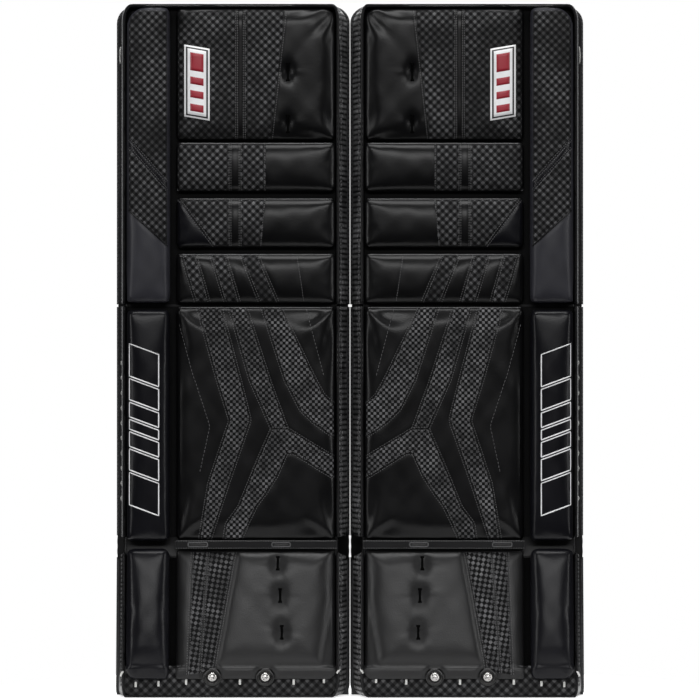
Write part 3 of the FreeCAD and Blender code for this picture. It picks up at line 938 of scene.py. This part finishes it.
def thigh_outer_roll():
    """The thigh's outer roll: lattice above and below a slanted tape, and bare leather at its foot, painted
    lighter and bluer than the other rolls as a painted highlight on its curve.
    """
    name = "thigh_outer_roll"
    low, high = box(name)
    roll = swollen(name, low, high, [3 * MM, 3 * MM, 22 * MM, 5 * MM], 7.0 * MM, 41)
    left, right = low.x + 3 * MM, high.x - 3 * MM
    ends = ((604, 655), (614, 665), (538, 580))
    lower, upper, foot = lines = [[(left, a * MM), (right, b * MM)] for a, b in ends]
    groove(roll, lines, 0.9 * MM, 2.4 * MM)
    turns = np.linspace(0, 1.3, 6)
    corner = [(right - (1 - math.cos(a)) * 18 * MM, high.z + (19 * math.sin(a) - 22) * MM) for a in turns]
    panels, top = sew_on(roll, [
        ([upper[0], (left, high.z - 4 * MM)], [upper[1], *corner], LATTICE, PANEL_LIFT),
        ([foot[0], lower[0]], [foot[1], lower[1]], LATTICE, PANEL_LIFT),
        ([lower[0], upper[0]], [lower[1], upper[1]], BLUISH, 0.6 * MM),
    ])
    rows = across(top, double(lower, 1.3 * MM) + double(upper, 1.3 * MM))
    cord = tube(top.along(resample(foot, 30), 0.4 * MM), 0.9 * MM, BINDING)
    trim("thigh_outer_roll_stitching", "thigh", "roll_leather", [stitches(rows), cord])
    trim("thigh_outer_roll_panels", "thigh", "roll_leather", panels)
    # painted highlight: the bare roll leather is a lighter, bluer copy of the roll leather
    finish_cushion(roll, ROLL_PAINTED_HIGHLIGHT, "thigh", "roll_leather")


def shin_outer_roll():
    name = "shin_outer_roll"
    low, high = box(name)
    roll = swollen(name, low, high, [4 * MM] * 4, 7.0 * MM, 51)
    motif(Front(roll), low.x + 13 * MM, high.x - 4 * MM, 216 * MM, 421 * MM)
    finish_cushion(roll, BLUISH, "shin", "roll_leather")


def motif(front, left, right, low, high):
    """A printed row of slanted bars in outline, the middle ones shorter."""
    lean = 13 * MM
    bars = (0.2, 0.13, 0.09, 0.06, 0.09, 0.13, 0.2)
    gap = (1 - sum(bars)) / (len(bars) - 1)
    run = high - low - lean
    start = low
    pieces = []
    for bar in bars:
        end = start + bar * run
        shape = [(left, start), (right, start + lean), (right, end + lean), (left, end)]
        line = [p for a, b in zip(shape, shape[1:] + shape[:1]) for p in resample([a, b], 16)[:-1]]
        pieces.append(tube(front.along(line, 0.15 * MM), 0.75 * MM, WHITE_PRINT, closed=True, flat=0.35))
        start = end + gap * run
    trim("shin_outer_roll_motif", "shin", "roll_leather", pieces)


BOOT_SEAMS = (((120, 173), (146, 27)), ((152, 173), (162, 27)), ((171, 173), (176, 25)))


def boot_face():
    """The boot's puffy cushion, tied down at three places, with its chequered band."""
    low, high = upright_box("boot_face")
    front_low = low + Vector((0, 4.5 * MM, 0))
    face = swollen("boot_face", front_low, high, [10 * MM, 4 * MM, 3 * MM, 5 * MM], 5 * MM, 61)
    puff(face, height((120, 178), (144, 36), (18, 38), (6, 110), (2, 177)), 6.0 * MM, 28 * MM)
    modify(face, "SMOOTH", factor=0.5, iterations=6)
    thin_apron(face, low.z)
    seat_washers(face)
    ties = height((69, 159), (66, 120), (64, 76))
    seams = [height(*line) for line in BOOT_SEAMS]
    groove(face, seams[:1], 2.2 * MM, 4.0 * MM)
    groove(face, seams[1:], 0.8 * MM, 2.4 * MM)
    tuft(face, ties, 4.5 * MM, 9 * MM, 1.5)
    wrinkles(face, ties, 0.12 * MM, 26 * MM)
    panels, top = sew_on(face, [(*edges, BOOT_CHEQUER, 0.4 * MM) for edges in zip(seams, seams[1:])])
    rows = across(top, [row for line in seams for row in double(line)])
    slits = [slit(top, place, 15 * MM) for place in ties]
    trim("boot_face_stitching", "boot", "face_leather", [stitches(rows)])
    trim("boot_face_ties", "boot", "face_leather", slits)
    trim("boot_face_panels", "boot", "face_leather", panels)
    finish_cushion(face, PUFFY, "boot", "face_leather", 0.8)


def thin_apron(piece, bottom):
    """Draws the back of a boot cushion forward where it hangs in front of the toe block."""
    points = points_of(piece)
    apron_top, apron_back = bottom + 17 * MM, FACE + 5.5 * MM
    share = smoothstep((apron_top - points[:, 2]) / (4 * MM))
    front, back = points[:, 1].min(), points[:, 1].max()
    squeezed = front + (points[:, 1] - front) * (apron_back - front) / (back - front)
    points[:, 1] += (squeezed - points[:, 1]) * share
    move_points(piece, points)


def seat_washers(piece):
    """Presses the cushion back under the toe's cup washers."""
    low, high = upright_box("toe_washers")
    radius = (high.z - low.z) / 2
    points = points_of(piece)
    for x in (low.x + radius, high.x - radius):
        away = np.hypot(points[:, 0] - x, points[:, 2] - (low.z + high.z) / 2)
        share = smoothstep((radius + 3.5 * MM - away) / (2.5 * MM))
        points[:, 1] += np.maximum(0, low.y + 1.2 * MM - points[:, 1]) * share
    move_points(piece, points)


def boot_outer_roll():
    low, high = upright_box("boot_outer_roll")
    roll = swollen("boot_outer_roll", low, high, [4 * MM, 10 * MM, 4 * MM, 4 * MM], 7.5 * MM, 71)
    thin_apron(roll, low.z)
    foot = 40 * MM
    press(roll, 5 * MM * smoothstep((low.z + foot - points_of(roll)[:, 2]) / foot))
    finish_cushion(roll, BLUISH, "boot", "roll_leather", 0.8)


# ---------------------------------------------------------------- casings

WALL = 4 * MM
LIP_DEEP = 2 * MM
LIP_CORD = (LIP + 0.6 * MM, -0.8 * MM, 1.1 * MM, BINDING)
BACK_CORD = (BACK - 1 * MM, -0.6 * MM, 1.5 * MM, BINDING)
GREY_CORD = (LIP + 3.0 * MM, 0.1 * MM, 0.8 * MM, PIPING)
ROW_DEPTHS = (8 * MM, 12 * MM, 49 * MM)


def edge_place(place, out, y, offset):
    """A place on the casing's side. out points outwards in (x, z), and the front stands in from the back."""
    flare = (LIP_INNER - INNER if out[0] < 0 else OUTER - LIP_OUTER) * (BACK - y) / (BACK - LIP)
    return Vector((place[0] + out[0] * (offset - flare), y, place[1] + out[1] * offset))


def wall_section():
    """The side strip's section as (y, offset): a bulging outside, a rolled lip in front and a flat inside."""
    front = LIP + LIP_DEEP
    depths = np.linspace(0, 1, 14)
    outside = [(BACK + (front - BACK) * t, -1.2 * MM * (2 * t - 1) ** 2 - 0.1 * MM) for t in depths]
    lip = [(front - LIP_DEEP * math.sin(a), -WALL / 2 + LIP_DEEP * math.cos(a) * 0.6)
           for a in np.linspace(0.3, math.pi - 0.3, 7)]
    return outside + lip + [(front + (BACK - front) * t, -WALL) for t in (0, 0.3, 0.6, 1)]


def side_band(path):
    """The casing's side strip along a path of (x, z)."""
    path = resample(path, int(length_of(path) / (4 * MM)))
    rings = []
    for i, (place, out) in enumerate(zip(path, leftward(path))):
        wave = 0.45 * MM * (math.sin(i * 0.21) + math.sin(i * 0.083 + 1) - 2)
        rings.append([edge_place(place, out, y, o + (wave if o > -2 * MM else 0)) for y, o in wall_section()])
    piece = loft("band", rings, BINDING, GUSSET_PAINTED_LIGHT, SMOOTH, NYLON)
    for face in piece.data.polygons:
        if face.center.y >= LIP + 2.2 * MM:
            # the inward-facing side gets the gusset leather, whose light squares are painted light
            face.material_index = 1 if face.normal.x < -0.5 else 3 if face.normal.z > 0.7 else 2
    return piece


def side_rows(path, depths):
    """Rows of stitches along the casing's side, each at its distance behind the lip."""
    path = resample(path, int(length_of(path) / (3 * MM)))
    outs, half = leftward(path), len(path) // 2
    rows = []
    for depth in depths:
        places = [edge_place(p, o, LIP + depth, 0.15 * MM) for p, o in zip(path, outs)]
        for part, out in ((places[: half + 1], outs[half // 2]), (places[half:], outs[-1 - half // 2])):
            rows.append((part, Vector((out[0], 0, out[1]))))
    return rows


def side_cord(path, y, offset, radius, material):
    """A cord sewn along the casing's side."""
    path = resample(path, int(length_of(path) / (4 * MM)))
    return tube([edge_place(p, o, y, offset) for p, o in zip(path, leftward(path))], radius, material)


def bindings(paths):
    """The cords along the front and back edges of the casing's side."""
    return [side_cord(path, *cord) for path in paths for cord in (LIP_CORD, BACK_CORD)]


def channels(low, high):
    """Upright sewn channels on the casing's back."""
    xs = [INNER + share * (OUTER - INNER) for share in (0.12, 0.5, 0.88)]
    return [[(x, low + 12 * MM), (x, high - 12 * MM)] for x in xs]


def channel_rows(low, high):
    """A row of stitches on either side of each channel."""
    lines = [(line, offset) for line in channels(low, high) for offset in (-3 * MM, 3 * MM)]
    return [([(x + offset, BACK - 0.7 * MM, z) for x, z in line], BACKWARD) for line, offset in lines]


def back_panel(low, high, lines, corner=0.0):
    """The casing's back: a lightly padded plate with sewn channels. corner is its top corners' radius."""
    columns, rows = shares(OUTER - INNER, 6 * MM, 2 * MM), shares(high - low, 6 * MM, 2 * MM)

    def place(u, v):
        z = low + (high - low) * v
        into = max(0.0, z - (high - corner))
        inset = corner - math.sqrt(max(0.0, corner * corner - into * into)) + 0.6 * MM
        x = INNER + inset + (OUTER - INNER - 2 * inset) * u
        y = BACK - 0.3 * MM - (1.5 * MM if u in EDGES or v in EDGES else 0.0)
        for line in lines:
            y -= 1.1 * MM * math.exp(-((distance_to(line, np.array([(x, z)]))[0] / (4 * MM)) ** 2))
        return (x, BACK - WALL, z), (x, y, z)

    return slab(columns, rows, place, NYLON)


def casing(part, low, high, paths, grey_path, corner=0.0):
    """The thigh's or shin's casing and what is sewn to it: side strips along paths, and the back."""
    pieces = [side_band(path) for path in paths] + [back_panel(low, high, channels(low, high), corner)]
    trim(part + "_casing", part, "side_leather", pieces, part + "_casing")
    trim(part + "_piping", part, "side_leather", bindings(paths) + [side_cord(grey_path, *GREY_CORD)])
    rows = [row for path in paths for row in side_rows(path, ROW_DEPTHS)] + channel_rows(low, high)
    trim(part + "_casing_stitching", part, "side_leather", [stitches(rows, 4.6 * MM, 0.6 * MM)])


def thigh_casing():
    """One strip up the inner side, over the rounded top and down the outer side, with a loop of lace."""
    low, high = box("thigh_casing")
    corner = 20 * MM
    top = rounded_box((INNER, low.z), (OUTER, high.z), [0, 0, corner, corner], 8)
    path = [(INNER, low.z), *reversed(top[18:36]), (OUTER, low.z)]
    outer = [p for p in path if p[0] > (INNER + OUTER) / 2]
    casing("thigh", low.z, high.z, [path], outer[1:], corner)
    centre = edge_place((OUTER, 767 * MM), (1, 0), LIP + 22 * MM, 0.4 * MM)
    trim("thigh_lacing", "thigh", "webbing", [lace_mark(centre, 20 * MM, (1, -0.2, 0), 1.2 * MM)])


def shin_casing():
    """A strip on either side, and laces down the outer one."""
    low, high = box("shin_casing")
    inner, outer = [(INNER, low.z), (INNER, high.z)], [(OUTER, high.z), (OUTER, low.z)]
    casing("shin", low.z, high.z, [inner, outer], outer)
    places = [edge_place((OUTER, z * MM), (1, 0), LIP + 9 * MM, 0.3 * MM) for z in range(236, 400, 18)]
    trim("shin_lacing", "shin", "webbing", [lace_mark(place, 5 * MM, (1, 0, 0)) for place in places])


def boot_casing():
    """The boot's casing: a U-shaped side strip, the back, and the chequered block under the cushions."""
    top = upright_box("boot_casing")[1].z
    outline = rounded_box((INNER, SOLE), (OUTER, top), [22 * MM, 14 * MM, 0, 0], 8)
    path = [(OUTER, top), *reversed(outline[:18]), (INNER, top)]
    pieces = [side_band(path), back_panel(SOLE + 2 * MM, top, channels(SOLE, top)), toe_block()]
    trim("boot_casing", "boot", "side_leather", pieces, "boot_casing")
    trim("boot_piping", "boot", "side_leather", bindings([path]))
    rows = [row for side in (path[:2], path[-2:]) for row in side_rows(side, ROW_DEPTHS[:2])]
    trim("boot_casing_stitching", "boot", "side_leather", [stitches(rows, 4.6 * MM, 0.6 * MM)])
    toe_lacing()


def toe_block():
    """The chequered face under the cushions, its lower corners rounded with the casing."""
    columns = shares(LIP_OUTER - LIP_INNER, 5 * MM, 2 * MM)
    tall = 38 * MM

    def corner_inset(radius, rise):
        return radius + 1 * MM - math.sqrt(max(0.0, radius**2 - max(0.0, radius - rise) ** 2))

    def place(u, v):
        rise = 0.5 * MM + tall * v
        left, right = LIP_INNER + corner_inset(20 * MM, rise), LIP_OUTER - corner_inset(12 * MM, rise)
        x = left + (right - left) * u
        dome = 0.72 * MM * math.sin(math.pi * min(1.0, rise / (24 * MM)))
        hem = 2.5 * MM if u in EDGES or v == 0.0 else 0.0
        return (x, LIP + 0.8 * MM - dome + hem, SOLE + rise), (x, LIP + 14 * MM, SOLE + rise)

    return slab(columns, np.linspace(0, 1, 12), place, TOE_LATTICE)


LACE_PLACES = ((255, 16), (228, 17), (195, 19), (131, 19), (67, 19), (31, 21))


def toe_lacing():
    """The lace that ties the cushions down shows as white marks along the toe, and at its two corners."""
    laces = []
    for x, z in LACE_PLACES:
        laces.append(lace_mark(Vector((x * MM, LIP - 0.6 * MM, SOLE + z * MM)), 6 * MM, FORWARD))
    for x, z, tall, turn in ((LIP_INNER + 1 * MM, 32, 5, -0.3), (LIP_OUTER + 0.5 * MM, 29, 6, 0.3)):
        centre = Vector((x, LIP + 0.5 * MM, SOLE + z * MM))
        laces.append(lace_mark(centre, tall * MM, (turn, -1, 0), 1.5 * MM))
    trim("toe_lacing", "boot", "webbing", laces)


# ---------------------------------------------------------------- breaks

SLEEVE_FRONT = FACE + 19.5 * MM


def ring_at(inset, tilt_share, z):
    """A ring of points round a section, drawn in by inset. tilt_share turns it towards the boot's plane."""
    corner = 5 * MM
    xs, ys = (INNER + inset, OUTER - inset), (SLEEVE_FRONT, BACK - inset)
    corners = ((0, 0, 180, LIP_INNER - INNER), (1, 0, 270, LIP_OUTER - OUTER), (1, 1, 0, 0), (0, 1, 90, 0))
    ring = []
    for i, j, start, flare in corners:
        centre = (xs[i] + flare + corner * (1 - 2 * i), ys[j] + corner * (1 - 2 * j))
        ring += [Vector((x, y, z)) for x, y in arc(centre, corner, start, start + 90, 5)]
    turn = hinge_turn(TILT * tilt_share)
    return [turn @ p for p in ring]


def sleeve(name, rings, joins):
    """A thin leather ring that closes a break."""
    piece = modify(loft(name, rings, capped=False), "SOLIDIFY", thickness=0.8 * MM, offset=-1)
    piece.data.materials.append(BINDING)
    hand_over(piece, "shin", "side_leather", joins=joins)


def knee_sleeve():
    rings = []
    for t in np.linspace(0, 1, 15):
        bulge = 1.6 * MM * math.exp(-(((t - 0.5) / 0.12) ** 2))
        rings.append(ring_at(2.6 * MM - bulge, 0, KNEE_BREAK + 14 * MM * (2 * t - 1)))
    sleeve("knee_sleeve", rings, ("thigh", KNEE_BREAK - 5 * MM, KNEE_BREAK + 5 * MM))


def boot_sleeve():
    high, low = BOOT_BREAK + 5 * MM, upright_box("boot_casing")[1].z - 5 * MM
    rings = []
    for t in np.linspace(0, 1, 15):
        bulge = 3.0 * MM * (1 - abs(2 * t - 1) ** 8) - 0.4 * MM * math.sin(3 * math.pi * t) ** 2
        rings.append(ring_at(2.8 * MM - bulge, t, high + (low - high) * t))
    sleeve("boot_sleeve", rings, ("boot", BOOT_BREAK + 1 * MM, 168 * MM))


def break_strip():
    """The flat strip over the boot's hinge line, with two bound slots, each filled by a black sheet as
    painted shade.
    """
    low, high = HINGE.z - 5.2 * MM, HINGE.z + 5.2 * MM
    left, right = FACE_INNER - 2 * MM, FACE_OUTER + 1 * MM

    def place(u, v):
        x, z = left + (right - left) * u, low + (high - low) * v
        return (x, FACE + 3.2 * MM + 0.25 * MM * math.sin(x / (7 * MM)), z), (x, FACE + 6 * MM, z)

    strip = slab(np.linspace(0, 1, 60), np.linspace(0, 1, 7), place, BINDING)
    front = Front(strip)
    pieces = [strip]
    for start, end in ((54, 76), (153, 176)):
        outline = rounded_box(*height((start, 178.6), (end, 183.4)), [1.6 * MM] * 4, 3)
        pieces.append(tube(front.along(outline, 0.2 * MM), 0.75 * MM, THREAD, closed=True))
        sides = [height((x, 179.4), (x, 182.6)) for x in (start + 1, end - 1)]
        # painted shade: a black sheet fills each slot's opening
        pieces.append(patch(front, *sides, BLACK_PRINT_AND_SLOT_SHADE, 0.2 * MM))
    pieces.append(stitches(across(front, [[(left, z), (right, z)] for z in (low + 1 * MM, high - 1 * MM)])))
    trim("break_strip", "shin", "side_leather", pieces, joins=("boot", high, low))


# ---------------------------------------------------------------- the back


def landing_block(name, body):
    """A stack of four foam pads in leather, with a seam between two of them, and a crowned suede face."""
    low, high = box(name)
    layers, seam, crown_depth, slack = 4, 1.4 * MM, 8 * MM, 0.3 * MM
    outline = rounded_box((low.x, low.z), (high.x, high.z), [9 * MM] * 4, 4)
    straight = high.y - low.y - crown_depth
    levels = []
    for t in np.linspace(0, 1, layers * 8 + 1):
        levels.append((slack + seam * (1 - abs(math.sin(math.pi * layers * t)) ** 0.5), low.y + straight * t))
    for a in np.linspace(0.15, 1, 7) * math.pi / 2:
        inset = slack + crown_depth * (1 - math.cos(a))
        levels.append((inset, low.y + straight + crown_depth * 0.8 * math.sin(a)))
    rings = [inset_ring(outline, inset, y) for inset, y in levels]
    rim = np.array(rings[-1])
    centre = (rim.min(0) + rim.max(0)) / 2
    for t in (0.85, 0.65, 0.45, 0.25, 0.1):
        ring = centre + (rim - centre) * t
        ring[:, 1] = high.y - 0.2 * crown_depth * t * t
        rings.append(ring)
    block = loft(name, rings, SMOOTH, SUEDE)
    for face in block.data.polygons:
        if face.center.y > high.y - crown_depth * 0.5:
            face.material_index = 1
    hand_over(block, body, "landing_leather", name, fill=0.9)


WING_WALL = 12 * MM
WING_BEVEL = 30 * MM
WING_COLUMNS = 56
WING_ROWS = 40


def hook_line(outer_x, end_x, start_y, rear_y):
    """The middle line of a wing's plan, from the casing round its bevel to its free end."""
    into = 1 if end_x > outer_x else -1
    half = WING_WALL / 2
    x, y = outer_x + into * half, rear_y - half
    line = [(x, start_y), (x, y - WING_BEVEL + half), (x + into * (WING_BEVEL - half), y), (end_x, y)]
    return resample(rounded(line, 16 * MM, 8), WING_COLUMNS)


def padded_sheet(name, line, bottom, top, seams):
    """A padded panel along a plan line of (x, y), from bottom(share) to top(share), thin at its edges."""
    outs = -leftward(line)
    length, edge = length_of(line), 7 * MM
    columns = range(WING_COLUMNS)
    heights = [(bottom(i / (WING_COLUMNS - 1)), top(i / (WING_COLUMNS - 1))) for i in columns]

    def place(i, v):
        share, (low, high) = i / (WING_COLUMNS - 1), heights[i]
        z = low + (high - low) * v
        to_edge = min(share * length, (1 - share) * length, z - low, high - z)
        inside = min(1.0, to_edge / edge)
        half = WING_WALL / 2 * math.sqrt(max(0.0, 1 - (1 - inside) ** 2)) + 0.4 * MM
        for seam in seams:
            half -= 1.7 * MM * math.exp(-(((v - seam) * (high - low) / (3 * MM)) ** 2)) * inside
        return (*(line[i] + outs[i] * half), z), (*(line[i] - outs[i] * half), z)

    rows = [(1 - math.cos(math.pi * r / (WING_ROWS - 1))) / 2 for r in range(WING_ROWS)]
    sheet = slab(columns, rows, place, SMOOTH, NYLON)
    for face in sheet.data.polygons:
        if min(face.vertices) >= WING_ROWS * WING_COLUMNS:
            face.material_index = 1
    rim = [(*line[i], heights[i][0]) for i in columns]
    rim += [(*line[i], heights[i][1]) for i in reversed(columns)]
    binding = tube(rounded(rim + rim[:1], 4 * MM, 2), 1.9 * MM, BINDING, up=(0, 0, 1))
    return joined(name, [sheet, binding])


def wing(node):
    """A wing on the casing's outer side, lower at its free end. It has a body of its own."""
    low, high = box(node)

    def drop(share):
        return 2 * MM + 12 * MM * smoothstep((share - 0.5) / 0.5)

    line = hook_line(high.x, low.x, low.y + 2 * MM, high.y)
    sheet = padded_sheet(node, line, lambda t: low.z + drop(t), lambda t: high.z - drop(t), (0.33, 0.67))
    hand_over(sheet, node, "wing_leather", node, fill=0.6)


def boot_wings():
    """The boot's two wings. They end just over the floor, which is a slope while the boot is drawn."""
    low, high = upright_box("boot_wings")

    def top(share):
        return high.z - 2 * MM - 16 * MM * float(smoothstep((share - 0.45) / 0.55))

    def one_wing(outer_x, end_x):
        line = hook_line(outer_x, end_x, BACK + 2 * MM, high.y)

        def bottom(share):
            y = line[round(share * (WING_COLUMNS - 1))][1]
            return SOLE + (y - HINGE.y) * math.tan(-TILT) + 2.5 * MM

        return padded_sheet("wing", line, bottom, top, (0.35, 0.7))

    wings = [one_wing(high.x, high.x - 75 * MM), one_wing(low.x, low.x + 75 * MM)]
    trim("boot_wings", "boot", "wing_leather", wings, "boot_wings", fill=0.6)


def strap(node, upright=False):
    """A webbing strap: a sewn end with a leather tab, and a hook-and-loop patch on its free end."""
    low, high = upright_box(node) if upright else box(node)
    near, thick, corner, tall = low.y + 0.3 * MM, 1.7 * MM, 9 * MM, high.z - low.z

    def band_place(u, v):
        from_edge = min(v, 1 - v) * tall
        inset = corner - math.sqrt(max(0.0, corner**2 - max(0.0, corner - from_edge) ** 2))
        x, z = low.x + inset + (high.x - low.x - 2 * inset) * u, low.z + v * tall
        y = near + 0.25 * MM * math.sin(u * 21) * math.sin(v * 3)
        hem = 0.5 * MM if v in EDGES else 0.0
        return (x, y + hem, z), (x, y + thick - hem, z)

    pieces = [slab(np.linspace(0, 1, 90), np.linspace(0, 1, 13), band_place, WEBBING)]
    rows = []
    for start, end, material, proud in ((2, 30, SMOOTH, 0.9 * MM), (150, 213, SUEDE, 0.7 * MM)):
        x1, x2 = high.x - end * MM, high.x - start * MM

        def tab_place(u, v):
            x, z = x1 + (x2 - x1) * u, low.z + (0.04 + 0.92 * v) * tall
            edge = 0.4 * MM if v in EDGES or u in EDGES else 0.0
            return (x, near + thick * 0.5, z), (x, near + thick + proud - edge, z)

        pieces.append(slab(np.linspace(0, 1, 20), np.linspace(0, 1, 9), tab_place, material))
        y = near + thick + proud + 0.05 * MM
        xs, zs = (x1 + 2 * MM, x2 - 2 * MM), (low.z + 4 * MM, high.z - 4 * MM)
        corners = [(xs[i], y, zs[j]) for i, j in ((0, 0), (1, 0), (1, 1), (0, 1), (0, 0))]
        rows += [([a, b], BACKWARD) for a, b in zip(corners, corners[1:])]
        if material == SMOOTH:
            rows += [([corners[i], corners[i + 2]], BACKWARD) for i in (0, 1)]
    pieces.append(stitches(rows, 2.6 * MM, 0.35 * MM))
    trim(node, node, "webbing", pieces, node)


# ---------------------------------------------------------------- toe hardware


def toe_hardware():
    """Domed bolts with a cross recess in black cup washers."""
    low, high = upright_box("toe_washers")
    bolt_low, bolt_high = upright_box("toe_bolts")
    cup, head = (high.z - low.z) / 2, (bolt_high.z - bolt_low.z) / 2
    z, front, back = (low.z + high.z) / 2, low.y, high.y
    cup_outline = [
        (0.0, front + 0.8 * MM), (head + 0.3 * MM, front + 0.8 * MM), (head + 1.0 * MM, front + 0.1 * MM),
        (head + 2.2 * MM, front - 0.5 * MM), (cup - 1.6 * MM, front - 0.1 * MM),
        (cup - 0.5 * MM, front + 0.6 * MM), (cup, front + 1.4 * MM), (cup, back),
    ]
    seat, rise = front + 0.6 * MM, 3.6 * MM
    dome = [(head * math.sin(a), seat - rise * math.cos(a)) for a in np.linspace(0.25, math.pi / 2, 8)]
    head_outline = [(0.0, seat - rise), *dome, (head, seat + 0.6 * MM)]
    shank_outline = [(0.0, front), (2.9 * MM, front), (2.9 * MM, bolt_high.y), (0.0, bolt_high.y)]
    washers, bolts = [], []
    for x in (low.x + cup, high.x - cup):
        washers.append(turned(cup_outline, x, z, CUP))
        bolts.append(recessed(turned(head_outline, x, z, STEEL), x, z, head))
        bolts.append(turned(shank_outline, x, z, STEEL, 20))
    trim("toe_washers", "boot", "washer_rubber", washers, "toe_washers")
    trim("toe_bolts", "boot", "fastener_steel", bolts, "toe_bolts")


def recessed(head, x, z, radius):
    """Presses a cross recess into a bolt's head."""
    modify(head, "SUBSURF", levels=1)
    points = points_of(head)
    turn = math.radians(28)
    dx, dz = points[:, 0] - x, points[:, 2] - z
    u = np.abs(dx * math.cos(turn) + dz * math.sin(turn))
    v = np.abs(dz * math.cos(turn) - dx * math.sin(turn))
    arm, half = 0.62 * radius, 0.17 * radius
    slot = ((u < arm) & (v < half)) | ((v < arm) & (u < half))
    points[:, 1] += np.where(slot, 1.0 * MM, 0.0)
    move_points(head, points)
    return head


# ---------------------------------------------------------------- carried-over CAD nodes

# The core foam's near-black, dull colour is the foam's own black and also painted shade in the grooves where
# the foam shows.
FOAM_AND_GROOVE_SHADE = leather("core_foam_and_groove_shade", (0.0015, 0.0015, 0.0016), 0.85, 0.1 * MM, 0.08)
BOARD = leather("stiffener_plastic", (0.002, 0.002, 0.0022), 0.7, 0.03 * MM, 0.1)
BRIDGE = leather("bridge_leather", (0.012, 0.012, 0.012), 0.5, 0.1 * MM)

KEPT = {
    "thigh_core": FOAM_AND_GROOVE_SHADE, "shin_core": FOAM_AND_GROOVE_SHADE, "boot_core": FOAM_AND_GROOVE_SHADE, "thigh_board": BOARD, "shin_board": BOARD,
    "toe_bridge": BRIDGE, "toe_nuts": STEEL,
}


def dress_kept_nodes():
    for side in SIDES:
        for node, material in KEPT.items():
            data = frame["nodes"][f"{side}_{node}"].data
            data.materials.clear()
            data.materials.append(material)


# ---------------------------------------------------------------- studio

LIGHTS = {  # place, width and height, and power
    "overhead": ((0.0, -0.9, 2.6), (2.0, 0.8), 40),
    "front_high": ((0.0, -8.0, 3.25), (6.0, 1.0), 260),
    "side_left": ((-2.5, -1.2, 0.9), (0.5, 2.0), 20),
    "side_right": ((2.5, -1.2, 0.9), (0.5, 2.0), 20),
    "behind": ((0.0, 2.4, 2.0), (2.4, 1.0), 95),
}
WORLD_LIGHT = 0.035
FLOOR_RADIUS = 0.45


def area_light(name, place, size, power):
    light = bpy.data.lights.new(name, "AREA")
    light.shape = "RECTANGLE"
    light.size, light.size_y = size
    light.energy = power
    lamp = bpy.data.objects.new(name, light)
    SCENE.collection.objects.link(lamp)
    lamp.location = place
    lamp.rotation_euler = (Vector((0, 0, 0.42)) - Vector(place)).to_track_quat("-Z", "Y").to_euler()


def studio_world():
    """White where the camera sees it, and a dim even light on everything else."""
    world = bpy.data.worlds.new("studio")
    world.use_nodes = True
    SCENE.world = world
    tree = world.node_tree
    seen, lit = tree.nodes["Background"], tree.nodes.new("ShaderNodeBackground")
    seen.inputs["Color"].default_value = (1, 1, 1, 1)
    lit.inputs["Color"].default_value = (1, 1, 1, 1)
    lit.inputs["Strength"].default_value = WORLD_LIGHT
    rays = tree.nodes.new("ShaderNodeLightPath")
    mix = tree.nodes.new("ShaderNodeMixShader")
    tree.links.new(rays.outputs["Is Camera Ray"], mix.inputs[0])
    tree.links.new(lit.outputs[0], mix.inputs[1])
    tree.links.new(seen.outputs[0], mix.inputs[2])
    tree.links.new(mix.outputs[0], tree.nodes["World Output"].inputs[0])


def pale_floor():
    rim = [(x, y, -0.5 * MM) for x, y in arc((0, 0), FLOOR_RADIUS, 0, 360, 96)[:-1]]
    pale = Shader("pale_floor")
    pale.set(Base_Color=(0.86, 0.86, 0.86, 1), Roughness=0.7)
    pale.set(Emission_Color=(1, 1, 1, 1), Emission_Strength=0.6)
    floor = new_piece("floor", rim, [tuple(range(96))], pale.material)


def camera():
    """Straight at the faces from far off, at half the pads' height."""
    distance, shown = 6.0, 0.8358
    data = bpy.data.cameras.new("camera")
    data.sensor_width = 36
    data.lens = 36 * distance / shown
    eye = bpy.data.objects.new("camera", data)
    SCENE.collection.objects.link(eye)
    eye.location = (0, FACE - distance, TOP / 2)
    eye.rotation_euler = (math.pi / 2, 0, 0)
    SCENE.camera = eye


thigh_face()
knee_rolls()
thigh_outer_roll()
shin_face()
shin_outer_roll()
boot_face()
boot_outer_roll()
thigh_casing()
shin_casing()
boot_casing()
knee_sleeve()
boot_sleeve()
break_strip()
landing_block("knee_stack", "thigh")
landing_block("calf_landing", "shin")
wing("knee_wing")
wing("calf_wing")
boot_wings()
for strap_name in ("knee_strap", "upper_calf_strap", "lower_calf_strap"):
    strap(strap_name)
strap("boot_strap", upright=True)
toe_hardware()
dress_kept_nodes()
for light_name, settings in LIGHTS.items():
    area_light(light_name, *settings)
studio_world()
pale_floor()
camera()
SCENE.view_settings.view_transform = "Standard"
